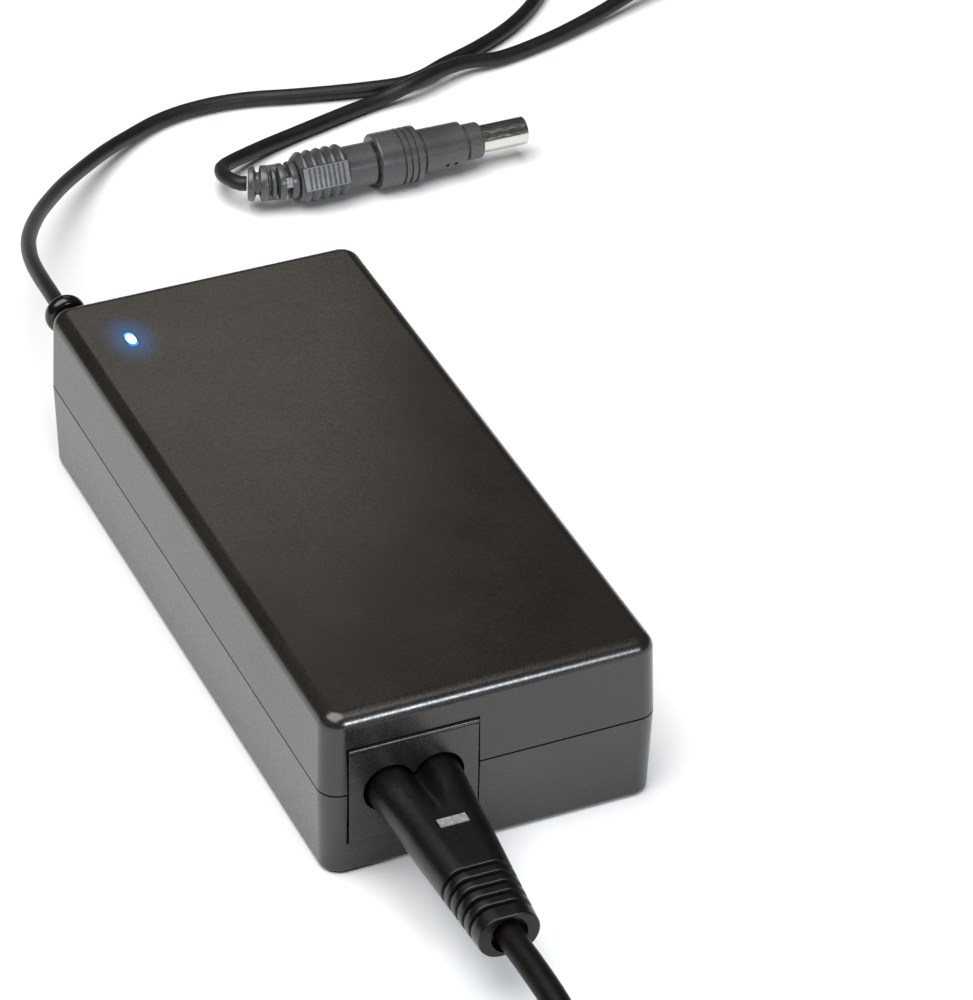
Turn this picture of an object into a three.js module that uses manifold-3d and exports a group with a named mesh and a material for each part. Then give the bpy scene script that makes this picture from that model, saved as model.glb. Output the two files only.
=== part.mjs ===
// A laptop power adapter: a two-shell case with its circuit board and inlet, a mains lead that
// pulls out of the inlet, and a low-voltage lead whose connector carries a pull-off tip.
// Millimetres. Origin: centre of the case's base. +Y runs from the inlet to the low-voltage exit, +Z up.
import * as THREE from "three";
import { mergeVertices } from "three/addons/utils/BufferGeometryUtils.js";
import Module from "manifold-3d";

const wasm = await Module();
wasm.setup();

// ---------------------------------------------------------------- driving sizes: case
const caseLength = 130;
const caseWidth = 58.6;
const caseHeight = 31;
const lowerShellHeight = 16.1; // height of the parting line
const wall = 2.2;
const draft = 0.45; // how far the sides lean in, from the parting line to the top or base
const cornerRadius = 3.5;
const topEdgeRadius = 2.5;
const baseEdgeRadius = 0.9;
const seam = 0.3; // open line between the two shells
const fit = 0.3; // clearance between pieces that slip into each other
const snug = 0.15; // clearance between turned pieces on one axis
const lipDepth = 1.6; // tongue of the upper shell inside the lower shell's rim
const labelLength = 84;
const labelWidth = 42;
const labelThickness = 0.25;
const labelRecess = 0.4;

// ---------------------------------------------------------------- driving sizes: inlet and its plug
const inletFromSide = 15.3; // inlet centre, from the case's left side
const inletPlateWidth = 22.3;
const inletPlateHeight = 18.4;
const inletPlateThickness = 2;
const inletFlangeRim = 0.7; // how far the flange reaches past the plate, behind the wall
const inletFlangeThickness = 1.4;
const inletDepth = 13; // of the figure-eight socket
const inletWall = 1.6; // of the socket's shroud
const inletLobeRadius = 4.45;
const inletLobeSpacing = 8.5;
const inletNotch = 2.5; // how deep the waist of the eight is drawn in
const plugLobeRadius = 3.9;
const plugLobeSpacing = 8.2;
const plugNotch = 2.4;
const plugInsertion = 11.8;
const pinDiameter = 2.4;
const pinSpacing = 8.6;
const pinReach = 9; // of each pin inside the socket
const pinTail = 3.5; // of each pin behind the socket
const plugLength = 39; // outside the inlet
const plugEndDrop = 1.3; // how far the plug's axis sinks by its end
const plugEndShift = -0.6; // how far the plug's end is bent to its left side
const plugEndHalfWidth = 5.2;
const plugShoulder = 15; // where the plug's waist starts, from the inlet
const plugShoulderHalfWidth = 7;
const plugGrooveCount = 5;
const plugGroovePitch = 2.32;
const plugGrooveWidth = 1.2;
const plugGrooveDepth = 0.95;
const plugGrooveShareAtSides = 0.5; // the grooves have this share of their depth round the sides
const plugEndRing = 2.6; // plain ring past the last groove
const plugPocketDepth = 2.1; // the mouth that the cord comes out of
const plugPocketGap = 0.9; // between the cord and the sides of that mouth
const plugPocketWall = 0.6; // above and below it
const sleeveWall = 0.5; // spring sleeves inside the plug
const sleeveLength = 7.5;
const sleeveMouth = 1.8; // plug material in front of the sleeves
const plugTravel = 13;

// ---------------------------------------------------------------- driving sizes: mains lead
const mainsDiameter = 4.4;
const mainsCoilTurns = 6.25;
const mainsCoilAcross = 50; // at the middle of the turns
const mainsCoilY = -173;
const turnGap = 0.55; // between a coil's turns
const tieThickness = 0.5;
const mainsTieWidth = 5;
const wallPlugFromInlet = 59; // the wall plug's tail, across, from the inlet's line
const wallPlugLength = 30;
const wallPlugWidth = 35.3;
const wallPlugThickness = 13.7;
const wallPlugNeckWidth = 15;
const wallPlugReliefLength = 22;
const wallPlugReliefDiameter = 6.6;
const wallPinDiameter = 4;
const wallPinLength = 19;
const wallPinSpacing = 18.6;
const wallPinSocket = 6; // of each pin inside the moulding

// ---------------------------------------------------------------- driving sizes: low-voltage lead
const dcDiameter = 2.9;
const dcExitFromSide = 4.7;
const dcExitBelowTop = 4.4;
const dcCollarDiameter = 7.4;
const dcCollarThickness = 3;
const dcGroove = 1.2; // open ring between the case and the collar
const dcNeckDiameter = 4.2;
const dcAnchorDepth = 6; // how far the anchor reaches below the cord
const dcAnchorNear = 1.4; // and how far to the case's near side
const dcAnchorFar = 3;
const dcAnchorThickness = 1.8;
const dcCoilTurnsExtra = 7; // whole turns, beyond the part turn that the two ends leave open
const dcCoilAcross = 33;
const dcCoilX = 154;
const dcCoilY = 203;
const dcArriveHeading = 80; // degrees, of the cord as it meets the coil
const dcLeaveHeading = 199.5;
const dcTieWidth = 4;

// ---------------------------------------------------------------- driving sizes: connector and its tip
const connectorX = 33.3; // rear end of the strain relief, if it were straight
const connectorY = 126.45;
const connectorHeading = 0; // degrees
const connectorRoll = -24; // degrees; the side pads look up by this much
const reliefLength = 8.9;
const reliefRearDiameter = 6.8;
const reliefFrontDiameter = 7.3;
const reliefCoreDiameter = 4.4;
const reliefBend = 24; // degrees, over its whole length, towards the returning cord
const reliefBridge = 2.2;
const reliefBridgeWall = 0.35; // how far each bridge stays inside the outline
const reliefSlots = [
  { from: 1.2, width: 1.1, openAbove: true },
  { from: 3.6, width: 0.75, openAbove: false },
  { from: 5, width: 0.6, openAbove: false },
  { from: 6.7, width: 1, openAbove: true },
];
const gripLength = 10;
const gripDiameter = 10.1;
const gripRibCount = 5;
const gripRibHeight = 0.65;
const gripPadHeight = 4.8;
const gripPadSunk = 0.3; // how far each pad's face lies below the ribs' crests
const neckLength = 5.87;
const neckDiameter = 8.4;
const barrelDiameter = 5.5;
const barrelLength = 9.6;
const barrelWall = 0.5;
const insulatorWall = 0.4;
const sleeveBore = 2.1;
const tipCollarLength = 8.8;
const tipCollarDiameter = 11.1;
const tipCollarRing = 1.1; // plain ring in front of the last groove
const tipGrooveCount = 3;
const tipGroovePitch = 1.3;
const tipGrooveWidth = 0.5;
const tipGrooveDepth = 0.4;
const tipNoseLength = 10.4;
const tipNoseDiameter = 8.9;
const tipNoseGroove = 0.9; // ring at the nose's rear, as deep as the collar's grooves
const tipEndLength = 3.2;
const tipEndDiameter = 7.2;
const tipBarrelSeat = 6; // of the tip's barrel inside its moulding
const tipPinDiameter = 1.7;
const tipTravel = 10;

// ---------------------------------------------------------------- driving sizes: inside the case
const boardThickness = 1.6;
const boardLift = 2.8; // posts under the board
const boardSideGap = 1.5;
const boardEndGap = 1.6;
const postRadius = 2.2;
const postInset = 3.4;
const sheetThickness = 0.4;
const spreaderThickness = 0.5;
const fuseDiameter = 8.4;
const fuseHeight = 8;
const filterCapacitor = { x: 18, y: 8.5, z: 14 };
const safetyCapacitorDiameter = 8.5;
const safetyCapacitorThickness = 4;
const chokeOuterRadius = 8;
const chokeInnerRadius = 4.6;
const chokeHeight = 6;
const chokeWire = 1.1;
const chokeWindingShare = 0.72; // of the core's radius, that each winding covers to both sides
const chokeWindingFromMiddle = 2;
const bridge = { x: 14, y: 4.2, z: 11 };
const bulkDiameter = 16;
const bulkLength = 27;
const transformerCore = { x: 25, y: 23, z: 11 };
const transformerLeg = 7;
const transformerYoke = 4;
const transformerWindingHeight = 17;
const sinkThickness = 1.5;
const sinkHeight = 16;
const sinkFoot = 5;
const transistor = { x: 4.4, y: 10, z: 14.5 };
const outputCapacitorDiameter = 10;
const outputCapacitorHeight = 16;
const outputChokeRadius = 5.2;
const chip = { x: 6.2, y: 5, z: 1.8 };
const coupler = { x: 6.4, y: 4.6, z: 3.4 };
const componentGap = 1.4;
const ledFromSide = 10.4;
const ledFromBack = 15.4;
const ledDiameter = 3;
const ledHeight = 3.4;
const lensLength = 4.6;
const lensWidth = 1.9;
const lensFlange = 1.2;
const lensFlangeThickness = 1;

// ---------------------------------------------------------------- smoothness
const lathingSides = 24;
const arcSteps = 4;
const coilSteps = 24;
const coilSides = 6;
const tubeSides = 8;
const tubeStepInDiameters = 2.1;

// ---------------------------------------------------------------- heights and places that follow
const halfLength = caseLength / 2;
const halfWidth = caseWidth / 2;
const inletOffset = -halfWidth + inletFromSide;
const plateCentreZ = caseHeight / 2;
const ceiling = caseHeight - wall;
const boardBottom = wall + boardLift;
const boardTop = boardBottom + boardThickness;
const boardHalfWidth = halfWidth - wall - boardSideGap;
const socketBack = -halfLength + inletDepth + inletWall;
const boardFront = socketBack + pinTail + componentGap;
const boardBack = halfLength - wall - boardEndGap - dcAnchorThickness;
const coilLift = tieThickness + fit;

// ---------------------------------------------------------------- materials
function finish(color, roughness, metalness = 0) {
  return new THREE.MeshStandardMaterial({ color, roughness, metalness });
}

const caseBlack = finish(0x1d1b1a, 0.5);
const inletBlack = finish(0x232220, 0.62);
const cordBlack = finish(0x161616, 0.55);
const rubberBlack = finish(0x1b1b1b, 0.7);
const connectorBlack = finish(0x26272a, 0.5);
const nickel = finish(0xb8b8b4, 0.28, 1);
const brass = finish(0xb59a5a, 0.35, 1);
const aluminium = finish(0xa9abad, 0.4, 1);
const ferrite = finish(0x2b2c2e, 0.8);
const copper = finish(0xb06a3a, 0.35, 1);
const tape = finish(0xd8b92e, 0.5);
const boardGreen = finish(0x2d5a36, 0.6);
const sleeveBlack = finish(0x22262e, 0.4);
const epoxy = finish(0x1a1a1c, 0.55);
const ceramicBlue = finish(0x2f5d9a, 0.5);
const boxYellow = finish(0xd2b23a, 0.5);
const clearLens = finish(0xdfeaf4, 0.15);
const filmGrey = finish(0x8d8f92, 0.6);
const labelBlack = finish(0x202022, 0.6);

// ---------------------------------------------------------------- solids: joining, cutting, closing
function solidOf(geometry) {
  const bare = new THREE.BufferGeometry().setAttribute("position", geometry.getAttribute("position"));
  if (geometry.index) bare.setIndex(geometry.index);
  const merged = mergeVertices(bare, 1e-4);
  return new wasm.Manifold(
    new wasm.Mesh({
      numProp: 3,
      vertProperties: new Float32Array(merged.attributes.position.array),
      triVerts: new Uint32Array(merged.index.array),
    }),
  );
}

function geometryOf(solid) {
  const mesh = solid.getMesh();
  const positions = new Float32Array(mesh.numVert * 3);
  for (let i = 0; i < mesh.numVert; i++) {
    for (let k = 0; k < 3; k++) positions[3 * i + k] = mesh.vertProperties[mesh.numProp * i + k];
  }
  const geometry = new THREE.BufferGeometry();
  geometry.setAttribute("position", new THREE.BufferAttribute(positions, 3));
  geometry.setIndex(new THREE.BufferAttribute(mesh.triVerts, 1));
  return geometry;
}

function join(first, ...others) {
  return geometryOf(others.reduce((solid, geometry) => solid.add(solidOf(geometry)), solidOf(first)));
}

function cut(body, ...tools) {
  return geometryOf(tools.reduce((solid, geometry) => solid.subtract(solidOf(geometry)), solidOf(body)));
}

function overlapOf(body, tool) {
  return geometryOf(solidOf(body).intersect(solidOf(tool)));
}

// A closed surface from rings of equally many points, with its two end rings filled in.
function loft(rings) {
  const count = rings[0].length;
  const positions = rings.flat().flatMap((p) => [p.x, p.y, p.z]);
  const faces = [];
  for (let i = 0; i + 1 < rings.length; i++) {
    for (let k = 0; k < count; k++) {
      const a = i * count + k;
      const b = i * count + ((k + 1) % count);
      faces.push(a, b, b + count, a, b + count, a + count);
    }
  }
  for (const [ring, offset, forward] of [
    [rings[0], 0, false],
    [rings.at(-1), (rings.length - 1) * count, true],
  ]) {
    const middle = ring.reduce((sum, p) => sum.add(p), new THREE.Vector3()).divideScalar(count);
    const centre = positions.length / 3;
    positions.push(middle.x, middle.y, middle.z);
    for (let k = 0; k < count; k++) {
      const next = (k + 1) % count;
      faces.push(centre, offset + (forward ? k : next), offset + (forward ? next : k));
    }
  }
  return facingOut(positions, faces);
}

function facingOut(positions, faces) {
  const corner = (i) => new THREE.Vector3().fromArray(positions, 3 * i);
  let volume = 0;
  for (let i = 0; i < faces.length; i += 3) {
    volume += corner(faces[i]).dot(corner(faces[i + 1]).cross(corner(faces[i + 2])));
  }
  if (volume < 0) faces.reverse();
  const geometry = new THREE.BufferGeometry();
  geometry.setAttribute("position", new THREE.Float32BufferAttribute(positions, 3));
  geometry.setIndex(faces);
  return geometry;
}

// A box between two corners.
function block(x0, x1, y0, y1, z0, z1) {
  return new THREE.BoxGeometry(x1 - x0, y1 - y0, z1 - z0).translate(
    (x0 + x1) / 2,
    (y0 + y1) / 2,
    (z0 + z1) / 2,
  );
}

// A box of a given size that stands on a height.
function standing(size, x, y, z) {
  return block(x - size.x / 2, x + size.x / 2, y - size.y / 2, y + size.y / 2, z, z + size.z);
}

function upright(radius, height, x, y, z) {
  return new THREE.CylinderGeometry(radius, radius, height, lathingSides)
    .rotateX(Math.PI / 2)
    .translate(x, y, z + height / 2);
}

// A rod along Y between two places.
function rodAlongY(radius, y0, y1, x, z) {
  return new THREE.CylinderGeometry(radius, radius, y1 - y0, lathingSides).translate(x, (y0 + y1) / 2, z);
}

// A turned piece on the local X axis; its profile is a list of [place along the axis, radius].
function turned(profile) {
  const points = profile.map(([along, radius]) => new THREE.Vector2(radius, along));
  return new THREE.LatheGeometry(points, lathingSides).rotateZ(-Math.PI / 2);
}

function tubeOf(outer, inner, from, to) {
  return turned([
    [from, inner],
    [from, outer],
    [to, outer],
    [to, inner],
    [from, inner],
  ]);
}

// ---------------------------------------------------------------- case
function roundedRing(halfX, halfY, radius, z) {
  const ring = [];
  for (const [sx, sy, start] of [[1, 1, 0], [-1, 1, 1], [-1, -1, 2], [1, -1, 3]]) {
    for (let i = 0; i <= arcSteps; i++) {
      const angle = ((start + i / arcSteps) * Math.PI) / 2;
      ring.push(
        new THREE.Vector3(
          sx * (halfX - radius) + radius * Math.cos(angle),
          sy * (halfY - radius) + radius * Math.sin(angle),
          z,
        ),
      );
    }
  }
  return ring;
}

function leanAt(z) {
  const share =
    z < lowerShellHeight
      ? 1 - z / lowerShellHeight
      : (z - lowerShellHeight) / (caseHeight - lowerShellHeight);
  return draft * share;
}

function caseRing(z, inset) {
  const radius = Math.max(cornerRadius - inset, 1);
  return roundedRing(halfWidth - leanAt(z) - inset, halfLength - leanAt(z) - inset, radius, z);
}

function roundedEdge(radius, z, upwards) {
  const rings = [];
  for (let i = 0; i <= arcSteps; i++) {
    const angle = ((upwards ? i : arcSteps - i) / arcSteps) * (Math.PI / 2);
    const height = radius * Math.sin(angle);
    rings.push(caseRing(upwards ? z + height : z - height, radius * (1 - Math.cos(angle))));
  }
  return rings;
}

// The space inside the walls at an inset, between two heights.
function insideCase(inset, z0, z1) {
  return loft([caseRing(z0, inset), caseRing(z1, inset)]);
}

function inletCutOut() {
  return block(
    inletOffset - inletPlateWidth / 2 - fit,
    inletOffset + inletPlateWidth / 2 + fit,
    -halfLength - wall,
    -halfLength + wall + draft + fit,
    plateCentreZ - inletPlateHeight / 2 - fit,
    plateCentreZ + inletPlateHeight / 2 + fit,
  );
}

const dcExitX = -halfWidth + dcExitFromSide;
const dcExitZ = caseHeight - dcExitBelowTop;

function lowerShell() {
  const rimTop = lowerShellHeight - seam / 2;
  const outside = loft([...roundedEdge(baseEdgeRadius, baseEdgeRadius, false), caseRing(rimTop, 0)]);
  const hollow = insideCase(wall, wall, caseHeight);
  const rebate = insideCase(wall / 2, lowerShellHeight - lipDepth - fit, caseHeight);
  const recess = block(
    -labelWidth / 2 - fit,
    labelWidth / 2 + fit,
    -labelLength / 2 - fit,
    labelLength / 2 + fit,
    -wall,
    labelRecess,
  );
  const shell = cut(outside, hollow, rebate, recess, inletCutOut());
  const posts = [];
  for (const x of [-1, 1]) {
    for (const y of [boardFront + postInset, boardBack - postInset]) {
      const place = x * (boardHalfWidth - postInset);
      posts.push(upright(postRadius, boardLift + wall / 2, place, y, wall / 2));
    }
  }
  return join(shell, ...posts);
}

function upperShell() {
  const rim = lowerShellHeight + seam / 2;
  const topStart = caseHeight - topEdgeRadius;
  const outside = loft([caseRing(rim, 0), ...roundedEdge(topEdgeRadius, topStart, true)]);
  const hollow = insideCase(wall, 0, ceiling);
  const tongueOutside = insideCase(wall / 2 + fit, lowerShellHeight - lipDepth, rim + wall);
  const body = cut(join(outside, tongueOutside), hollow);
  const lensSlot = block(
    ledX - lensWidth / 2 - snug,
    ledX + lensWidth / 2 + snug,
    ledY - lensLength / 2 - snug,
    ledY + lensLength / 2 + snug,
    ceiling - wall,
    caseHeight + wall,
  );
  const holeRadius = dcNeckDiameter / 2 + snug;
  const cordHole = rodAlongY(holeRadius, halfLength - 2 * wall, halfLength + wall, dcExitX, dcExitZ);
  return cut(body, inletCutOut(), lensSlot, cordHole);
}

function ratingLabel() {
  return block(
    -labelWidth / 2,
    labelWidth / 2,
    -labelLength / 2,
    labelLength / 2,
    labelRecess - labelThickness,
    labelRecess,
  );
}

// ---------------------------------------------------------------- figure-eight outline and inlet
// Two circles side by side, joined by a waist that is drawn in by the notch.
function figureEight(radius, spacing, notch, groove = 0) {
  const outline = [];
  const half = spacing / 2;
  const lobeSteps = 8;
  const waistSteps = 8;
  for (const side of [1, -1]) {
    for (let i = 0; i <= lobeSteps; i++) {
      const angle = Math.PI * (i / lobeSteps - 0.5);
      outline.push([side * (half + radius * Math.cos(angle)), side * radius * Math.sin(angle)]);
    }
    for (let i = 1; i < waistSteps; i++) {
      const across = half * (1 - (2 * i) / waistSteps);
      const round = Math.sqrt(Math.max(0, radius ** 2 - (half - Math.abs(across)) ** 2));
      outline.push([side * across, side * Math.max(round, radius - notch)]);
    }
  }
  const across = 1 - (plugGrooveShareAtSides * groove) / (half + radius);
  return outline.map(([x, z]) => [x * across, z * (1 - groove / radius)]);
}

function eightRing(outline, y, z) {
  return outline.map(([x, dz]) => new THREE.Vector3(inletOffset + x, y, z + dz));
}

function inletHousing() {
  const front = -halfLength + draft / 2;
  const plate = block(
    inletOffset - inletPlateWidth / 2,
    inletOffset + inletPlateWidth / 2,
    front,
    front + inletPlateThickness + fit,
    plateCentreZ - inletPlateHeight / 2,
    plateCentreZ + inletPlateHeight / 2,
  );
  const flangeFront = -halfLength + wall + draft + fit;
  const flange = block(
    inletOffset - inletPlateWidth / 2 - inletFlangeRim,
    inletOffset + inletPlateWidth / 2 + inletFlangeRim,
    flangeFront,
    flangeFront + inletFlangeThickness,
    plateCentreZ - inletPlateHeight / 2 - inletFlangeRim,
    plateCentreZ + inletPlateHeight / 2 + inletFlangeRim,
  );
  const halfAcross = inletLobeSpacing / 2 + inletLobeRadius + inletWall;
  const shroud = block(
    inletOffset - halfAcross,
    inletOffset + halfAcross,
    front,
    socketBack,
    plateCentreZ - inletLobeRadius - inletWall,
    plateCentreZ + inletLobeRadius + inletWall,
  );
  const outline = figureEight(inletLobeRadius, inletLobeSpacing, inletNotch);
  const socket = loft([
    eightRing(outline, -halfLength - 1, plateCentreZ),
    eightRing(outline, -halfLength + inletDepth, plateCentreZ),
  ]);
  const pinHoles = [-1, 1].map((side) =>
    rodAlongY(
      pinDiameter / 2 + snug,
      -halfLength + inletDepth - 1,
      socketBack + 1,
      inletOffset + (side * pinSpacing) / 2,
      plateCentreZ,
    ),
  );
  return cut(join(plate, flange, shroud), socket, ...pinHoles);
}

// A contact pin with the tail that bends down to the board behind the socket.
function inletPin(side) {
  const x = inletOffset + (side * pinSpacing) / 2;
  const back = socketBack + pinTail;
  const pin = rodAlongY(pinDiameter / 2, -halfLength + inletDepth - pinReach, back, x, plateCentreZ);
  const half = pinDiameter / 2;
  const tail = block(x - half / 2, x + half / 2, back - half, back, boardTop, plateCentreZ);
  const foot = block(x - half / 2, x + half / 2, back - half, boardFront + half, boardTop, boardTop + half);
  return join(pin, tail, foot);
}

// ---------------------------------------------------------------- mains plug
const plugNose = -halfLength + plugInsertion;
const plugEnd = -halfLength - plugLength;
const plugEndX = inletOffset + plugEndShift;
const plugEndZ = plateCentreZ - plugEndDrop;

// Half-width, waist and axis of the plug at a distance outside the inlet.
function plugSection(outside) {
  const halfNose = plugLobeSpacing / 2 + plugLobeRadius;
  const toShoulder = THREE.MathUtils.smoothstep(outside, 0, plugShoulder);
  const toEnd = THREE.MathUtils.clamp((outside - plugShoulder) / (plugLength - plugShoulder), 0, 1);
  const shoulder = THREE.MathUtils.lerp(halfNose, plugShoulderHalfWidth, toShoulder);
  const halfWide = THREE.MathUtils.lerp(shoulder, plugEndHalfWidth, toEnd);
  const alongOutside = THREE.MathUtils.clamp(outside / plugLength, 0, 1);
  const z = plateCentreZ - plugEndDrop * alongOutside;
  return { halfWide, notch: plugNotch * (1 - toShoulder), shift: plugEndShift * alongOutside, z };
}

function plugRing(outside, grooveDepth) {
  const { halfWide, notch, shift, z } = plugSection(outside);
  const outline = figureEight(plugLobeRadius, 2 * (halfWide - plugLobeRadius), notch, grooveDepth);
  return eightRing(outline.map(([x, dz]) => [x + shift, dz]), -halfLength - outside, z);
}

function plugStations() {
  const stations = [
    [-plugInsertion, 0],
    [0, 0],
    [plugShoulder / 3, 0],
    [(2 * plugShoulder) / 3, 0],
    [plugShoulder, 0],
  ];
  const lastGroove = plugLength - plugEndRing - plugGrooveWidth;
  const firstGroove = lastGroove - (plugGrooveCount - 1) * plugGroovePitch;
  const slope = 0.15; // each groove's walls lean by this much
  for (let i = 0; i < plugGrooveCount; i++) {
    const start = firstGroove + i * plugGroovePitch;
    const end = start + plugGrooveWidth;
    stations.push([start, 0], [start + slope, plugGrooveDepth], [end - slope, plugGrooveDepth], [end, 0]);
  }
  const bevel = 0.6;
  stations.push([plugLength - bevel, 0], [plugLength, 0]);
  return stations;
}

function mainsPlug() {
  const body = loft(plugStations().map(([outside, depth]) => plugRing(outside, depth)));
  const pocket = new THREE.CylinderGeometry(1, 1, plugPocketDepth + 1, lathingSides)
    .scale(mainsDiameter / 2 + plugPocketGap, 1, plugLobeRadius - plugPocketWall)
    .translate(plugEndX, plugEnd + (plugPocketDepth - 1) / 2, plugEndZ);
  const bores = [-1, 1].flatMap((side) => {
    const x = inletOffset + (side * pinSpacing) / 2;
    const mouth = rodAlongY(pinDiameter / 2 + fit, plugNose - sleeveMouth - 1, plugNose + 1, x, plateCentreZ);
    const chamberRadius = pinDiameter / 2 + snug + sleeveWall + snug;
    const back = plugNose - sleeveMouth;
    const chamber = rodAlongY(chamberRadius, back - sleeveLength - 2 * snug, back, x, plateCentreZ);
    return [mouth, chamber];
  });
  return cut(body, pocket, ...bores);
}

function plugSleeve(side) {
  const back = plugNose - sleeveMouth - snug;
  const inner = pinDiameter / 2 + snug;
  return tubeOf(inner + sleeveWall, inner, 0, sleeveLength)
    .rotateZ(Math.PI / 2)
    .translate(inletOffset + (side * pinSpacing) / 2, back - sleeveLength, plateCentreZ);
}

// ---------------------------------------------------------------- cords: routes, tubes, coils, ties
function vectors(points) {
  return points.map(([x, y, z]) => new THREE.Vector3(x, y, z));
}

function section(diameter) {
  const shape = new THREE.Shape();
  for (let i = 0; i < tubeSides; i++) {
    const angle = (2 * Math.PI * i) / tubeSides;
    const x = (diameter / 2) * Math.cos(angle);
    const y = (diameter / 2) * Math.sin(angle);
    if (i === 0) shape.moveTo(x, y);
    else shape.lineTo(x, y);
  }
  shape.closePath();
  return shape;
}

function cordAlong(points, diameter) {
  const route = new THREE.CatmullRomCurve3(points, false, "centripetal");
  const steps = Math.round(route.getLength() / (tubeStepInDiameters * diameter));
  return new THREE.ExtrudeGeometry(section(diameter), { extrudePath: route, steps, bevelEnabled: false });
}

// A coil in two layers: it spirals in on the surface, climbs in the half turn where it reverses,
// and spirals out again on top. Each end runs on straight for one diameter.
function coilRoute(coil) {
  const pitch = coil.diameter + turnGap;
  const middle = Math.PI * coil.turns; // angle at which the spiral reverses
  const inner = coil.across / 2 - (pitch * coil.turns) / 4;
  const low = coilLift + coil.diameter / 2;
  const points = [];
  const count = Math.round(coil.turns * coilSteps);
  for (let i = 0; i <= count; i++) {
    const swept = (2 * Math.PI * coil.turns * i) / count;
    const fromMiddle = swept - middle;
    const radius = inner + (pitch * Math.abs(fromMiddle)) / (2 * Math.PI);
    const climb = THREE.MathUtils.smoothstep(fromMiddle, -Math.PI / 2, Math.PI / 2);
    const angle = coil.startAngle + coil.sense * swept;
    points.push(
      new THREE.Vector3(
        coil.x + radius * Math.cos(angle),
        coil.y + radius * Math.sin(angle),
        low + pitch * climb,
      ),
    );
  }
  const endAngle = coil.startAngle + coil.sense * 2 * Math.PI * coil.turns;
  const onwards = (point, angle, way) => {
    const along = new THREE.Vector3(-Math.sin(angle), Math.cos(angle), 0);
    return point.clone().addScaledVector(along, way * coil.sense * coil.diameter);
  };
  points.unshift(onwards(points[0], coil.startAngle, -1));
  points.push(onwards(points.at(-1), endAngle, 1));
  return points;
}

function coilTube(points, diameter) {
  const up = new THREE.Vector3(0, 0, 1);
  const rings = points.map((point, i) => {
    const ahead = points[Math.min(i + 1, points.length - 1)];
    const behind = points[Math.max(i - 1, 0)];
    const along = ahead.clone().sub(behind).normalize();
    const side = along.clone().cross(up).normalize();
    const lift = side.clone().cross(along);
    return Array.from({ length: coilSides }, (_, k) => {
      const angle = (2 * Math.PI * k) / coilSides;
      return point
        .clone()
        .addScaledVector(side, (diameter / 2) * Math.cos(angle))
        .addScaledVector(lift, (diameter / 2) * Math.sin(angle));
    });
  });
  return loft(rings);
}

// The least distance between stretches of one coil that lie more than half a turn apart along it.
function leastGap(points, diameter) {
  const apart = coilSteps / 2;
  let least = Infinity;
  for (let i = 0; i < points.length; i++) {
    for (let k = i + apart; k < points.length; k++) least = Math.min(least, points[i].distanceTo(points[k]));
  }
  return least - diameter;
}

// A flat strap round both layers of a coil, at an angle of the coil.
function coilTie(coil, width, angle) {
  const pitch = coil.diameter + turnGap;
  const reach = (pitch * coil.turns) / 4 + coil.diameter / 2;
  const outer = coil.across / 2 + reach + fit;
  const inner = Math.sqrt((coil.across / 2 - reach) ** 2 - (width / 2) ** 2) - fit;
  const top = coilLift + coil.diameter + pitch + fit;
  const [near, far] = [inner - tieThickness, outer + tieThickness];
  const strap = block(near, far, -width / 2, width / 2, 0, top + tieThickness);
  const bundle = block(inner, outer, -width, width, tieThickness, top);
  return cut(strap, bundle).rotateZ(angle).translate(coil.x, coil.y, 0);
}

// ---------------------------------------------------------------- mains lead
const mainsCoil = {
  diameter: mainsDiameter,
  turns: mainsCoilTurns,
  across: mainsCoilAcross,
  x: inletOffset + mainsCoilAcross / 2 + ((mainsDiameter + turnGap) * mainsCoilTurns) / 4,
  y: mainsCoilY,
  startAngle: Math.PI,
  sense: 1,
};
const mainsCoilPoints = coilRoute(mainsCoil);
const mainsCoilLow = coilLift + mainsDiameter / 2;

// A point just outside one end of a coil, at a distance along the direction of that end.
function beyond(points, atStart, distance) {
  const end = atStart ? points[0] : points.at(-1);
  const before = atStart ? points[1] : points.at(-2);
  return end.clone().addScaledVector(end.clone().sub(before).normalize(), distance);
}

function mainsCordOut() {
  const start = plugEnd + plugPocketDepth - fit;
  const hand = vectors([
    [plugEndX, start, plugEndZ],
    [plugEndX, start - mainsDiameter, plugEndZ],
    [-14.3, -112, 13.9],
    [-13.9, -120, 13],
    [-13.8, -128, 11.1],
    [-13.9, -137, 8.3],
    [inletOffset, -146, 5.6],
    [inletOffset, -155, 3.9],
  ]);
  const coilEnd = [beyond(mainsCoilPoints, true, mainsDiameter), beyond(mainsCoilPoints, true, fit)];
  return cordAlong([...hand, ...coilEnd], mainsDiameter);
}

const wallPlugX = inletOffset + wallPlugFromInlet;
const wallPlugY = mainsCoilPoints.at(-1).y;
const wallPlugZ = wallPlugThickness / 2;

function mainsCordEnd() {
  const points = [
    beyond(mainsCoilPoints, false, fit),
    beyond(mainsCoilPoints, false, mainsDiameter),
    new THREE.Vector3(wallPlugX - 2 * mainsDiameter, wallPlugY, wallPlugZ + 0.3),
    new THREE.Vector3(wallPlugX - mainsDiameter, wallPlugY, wallPlugZ),
    new THREE.Vector3(wallPlugX - fit, wallPlugY, wallPlugZ),
  ];
  return cordAlong(points, mainsDiameter);
}

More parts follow.
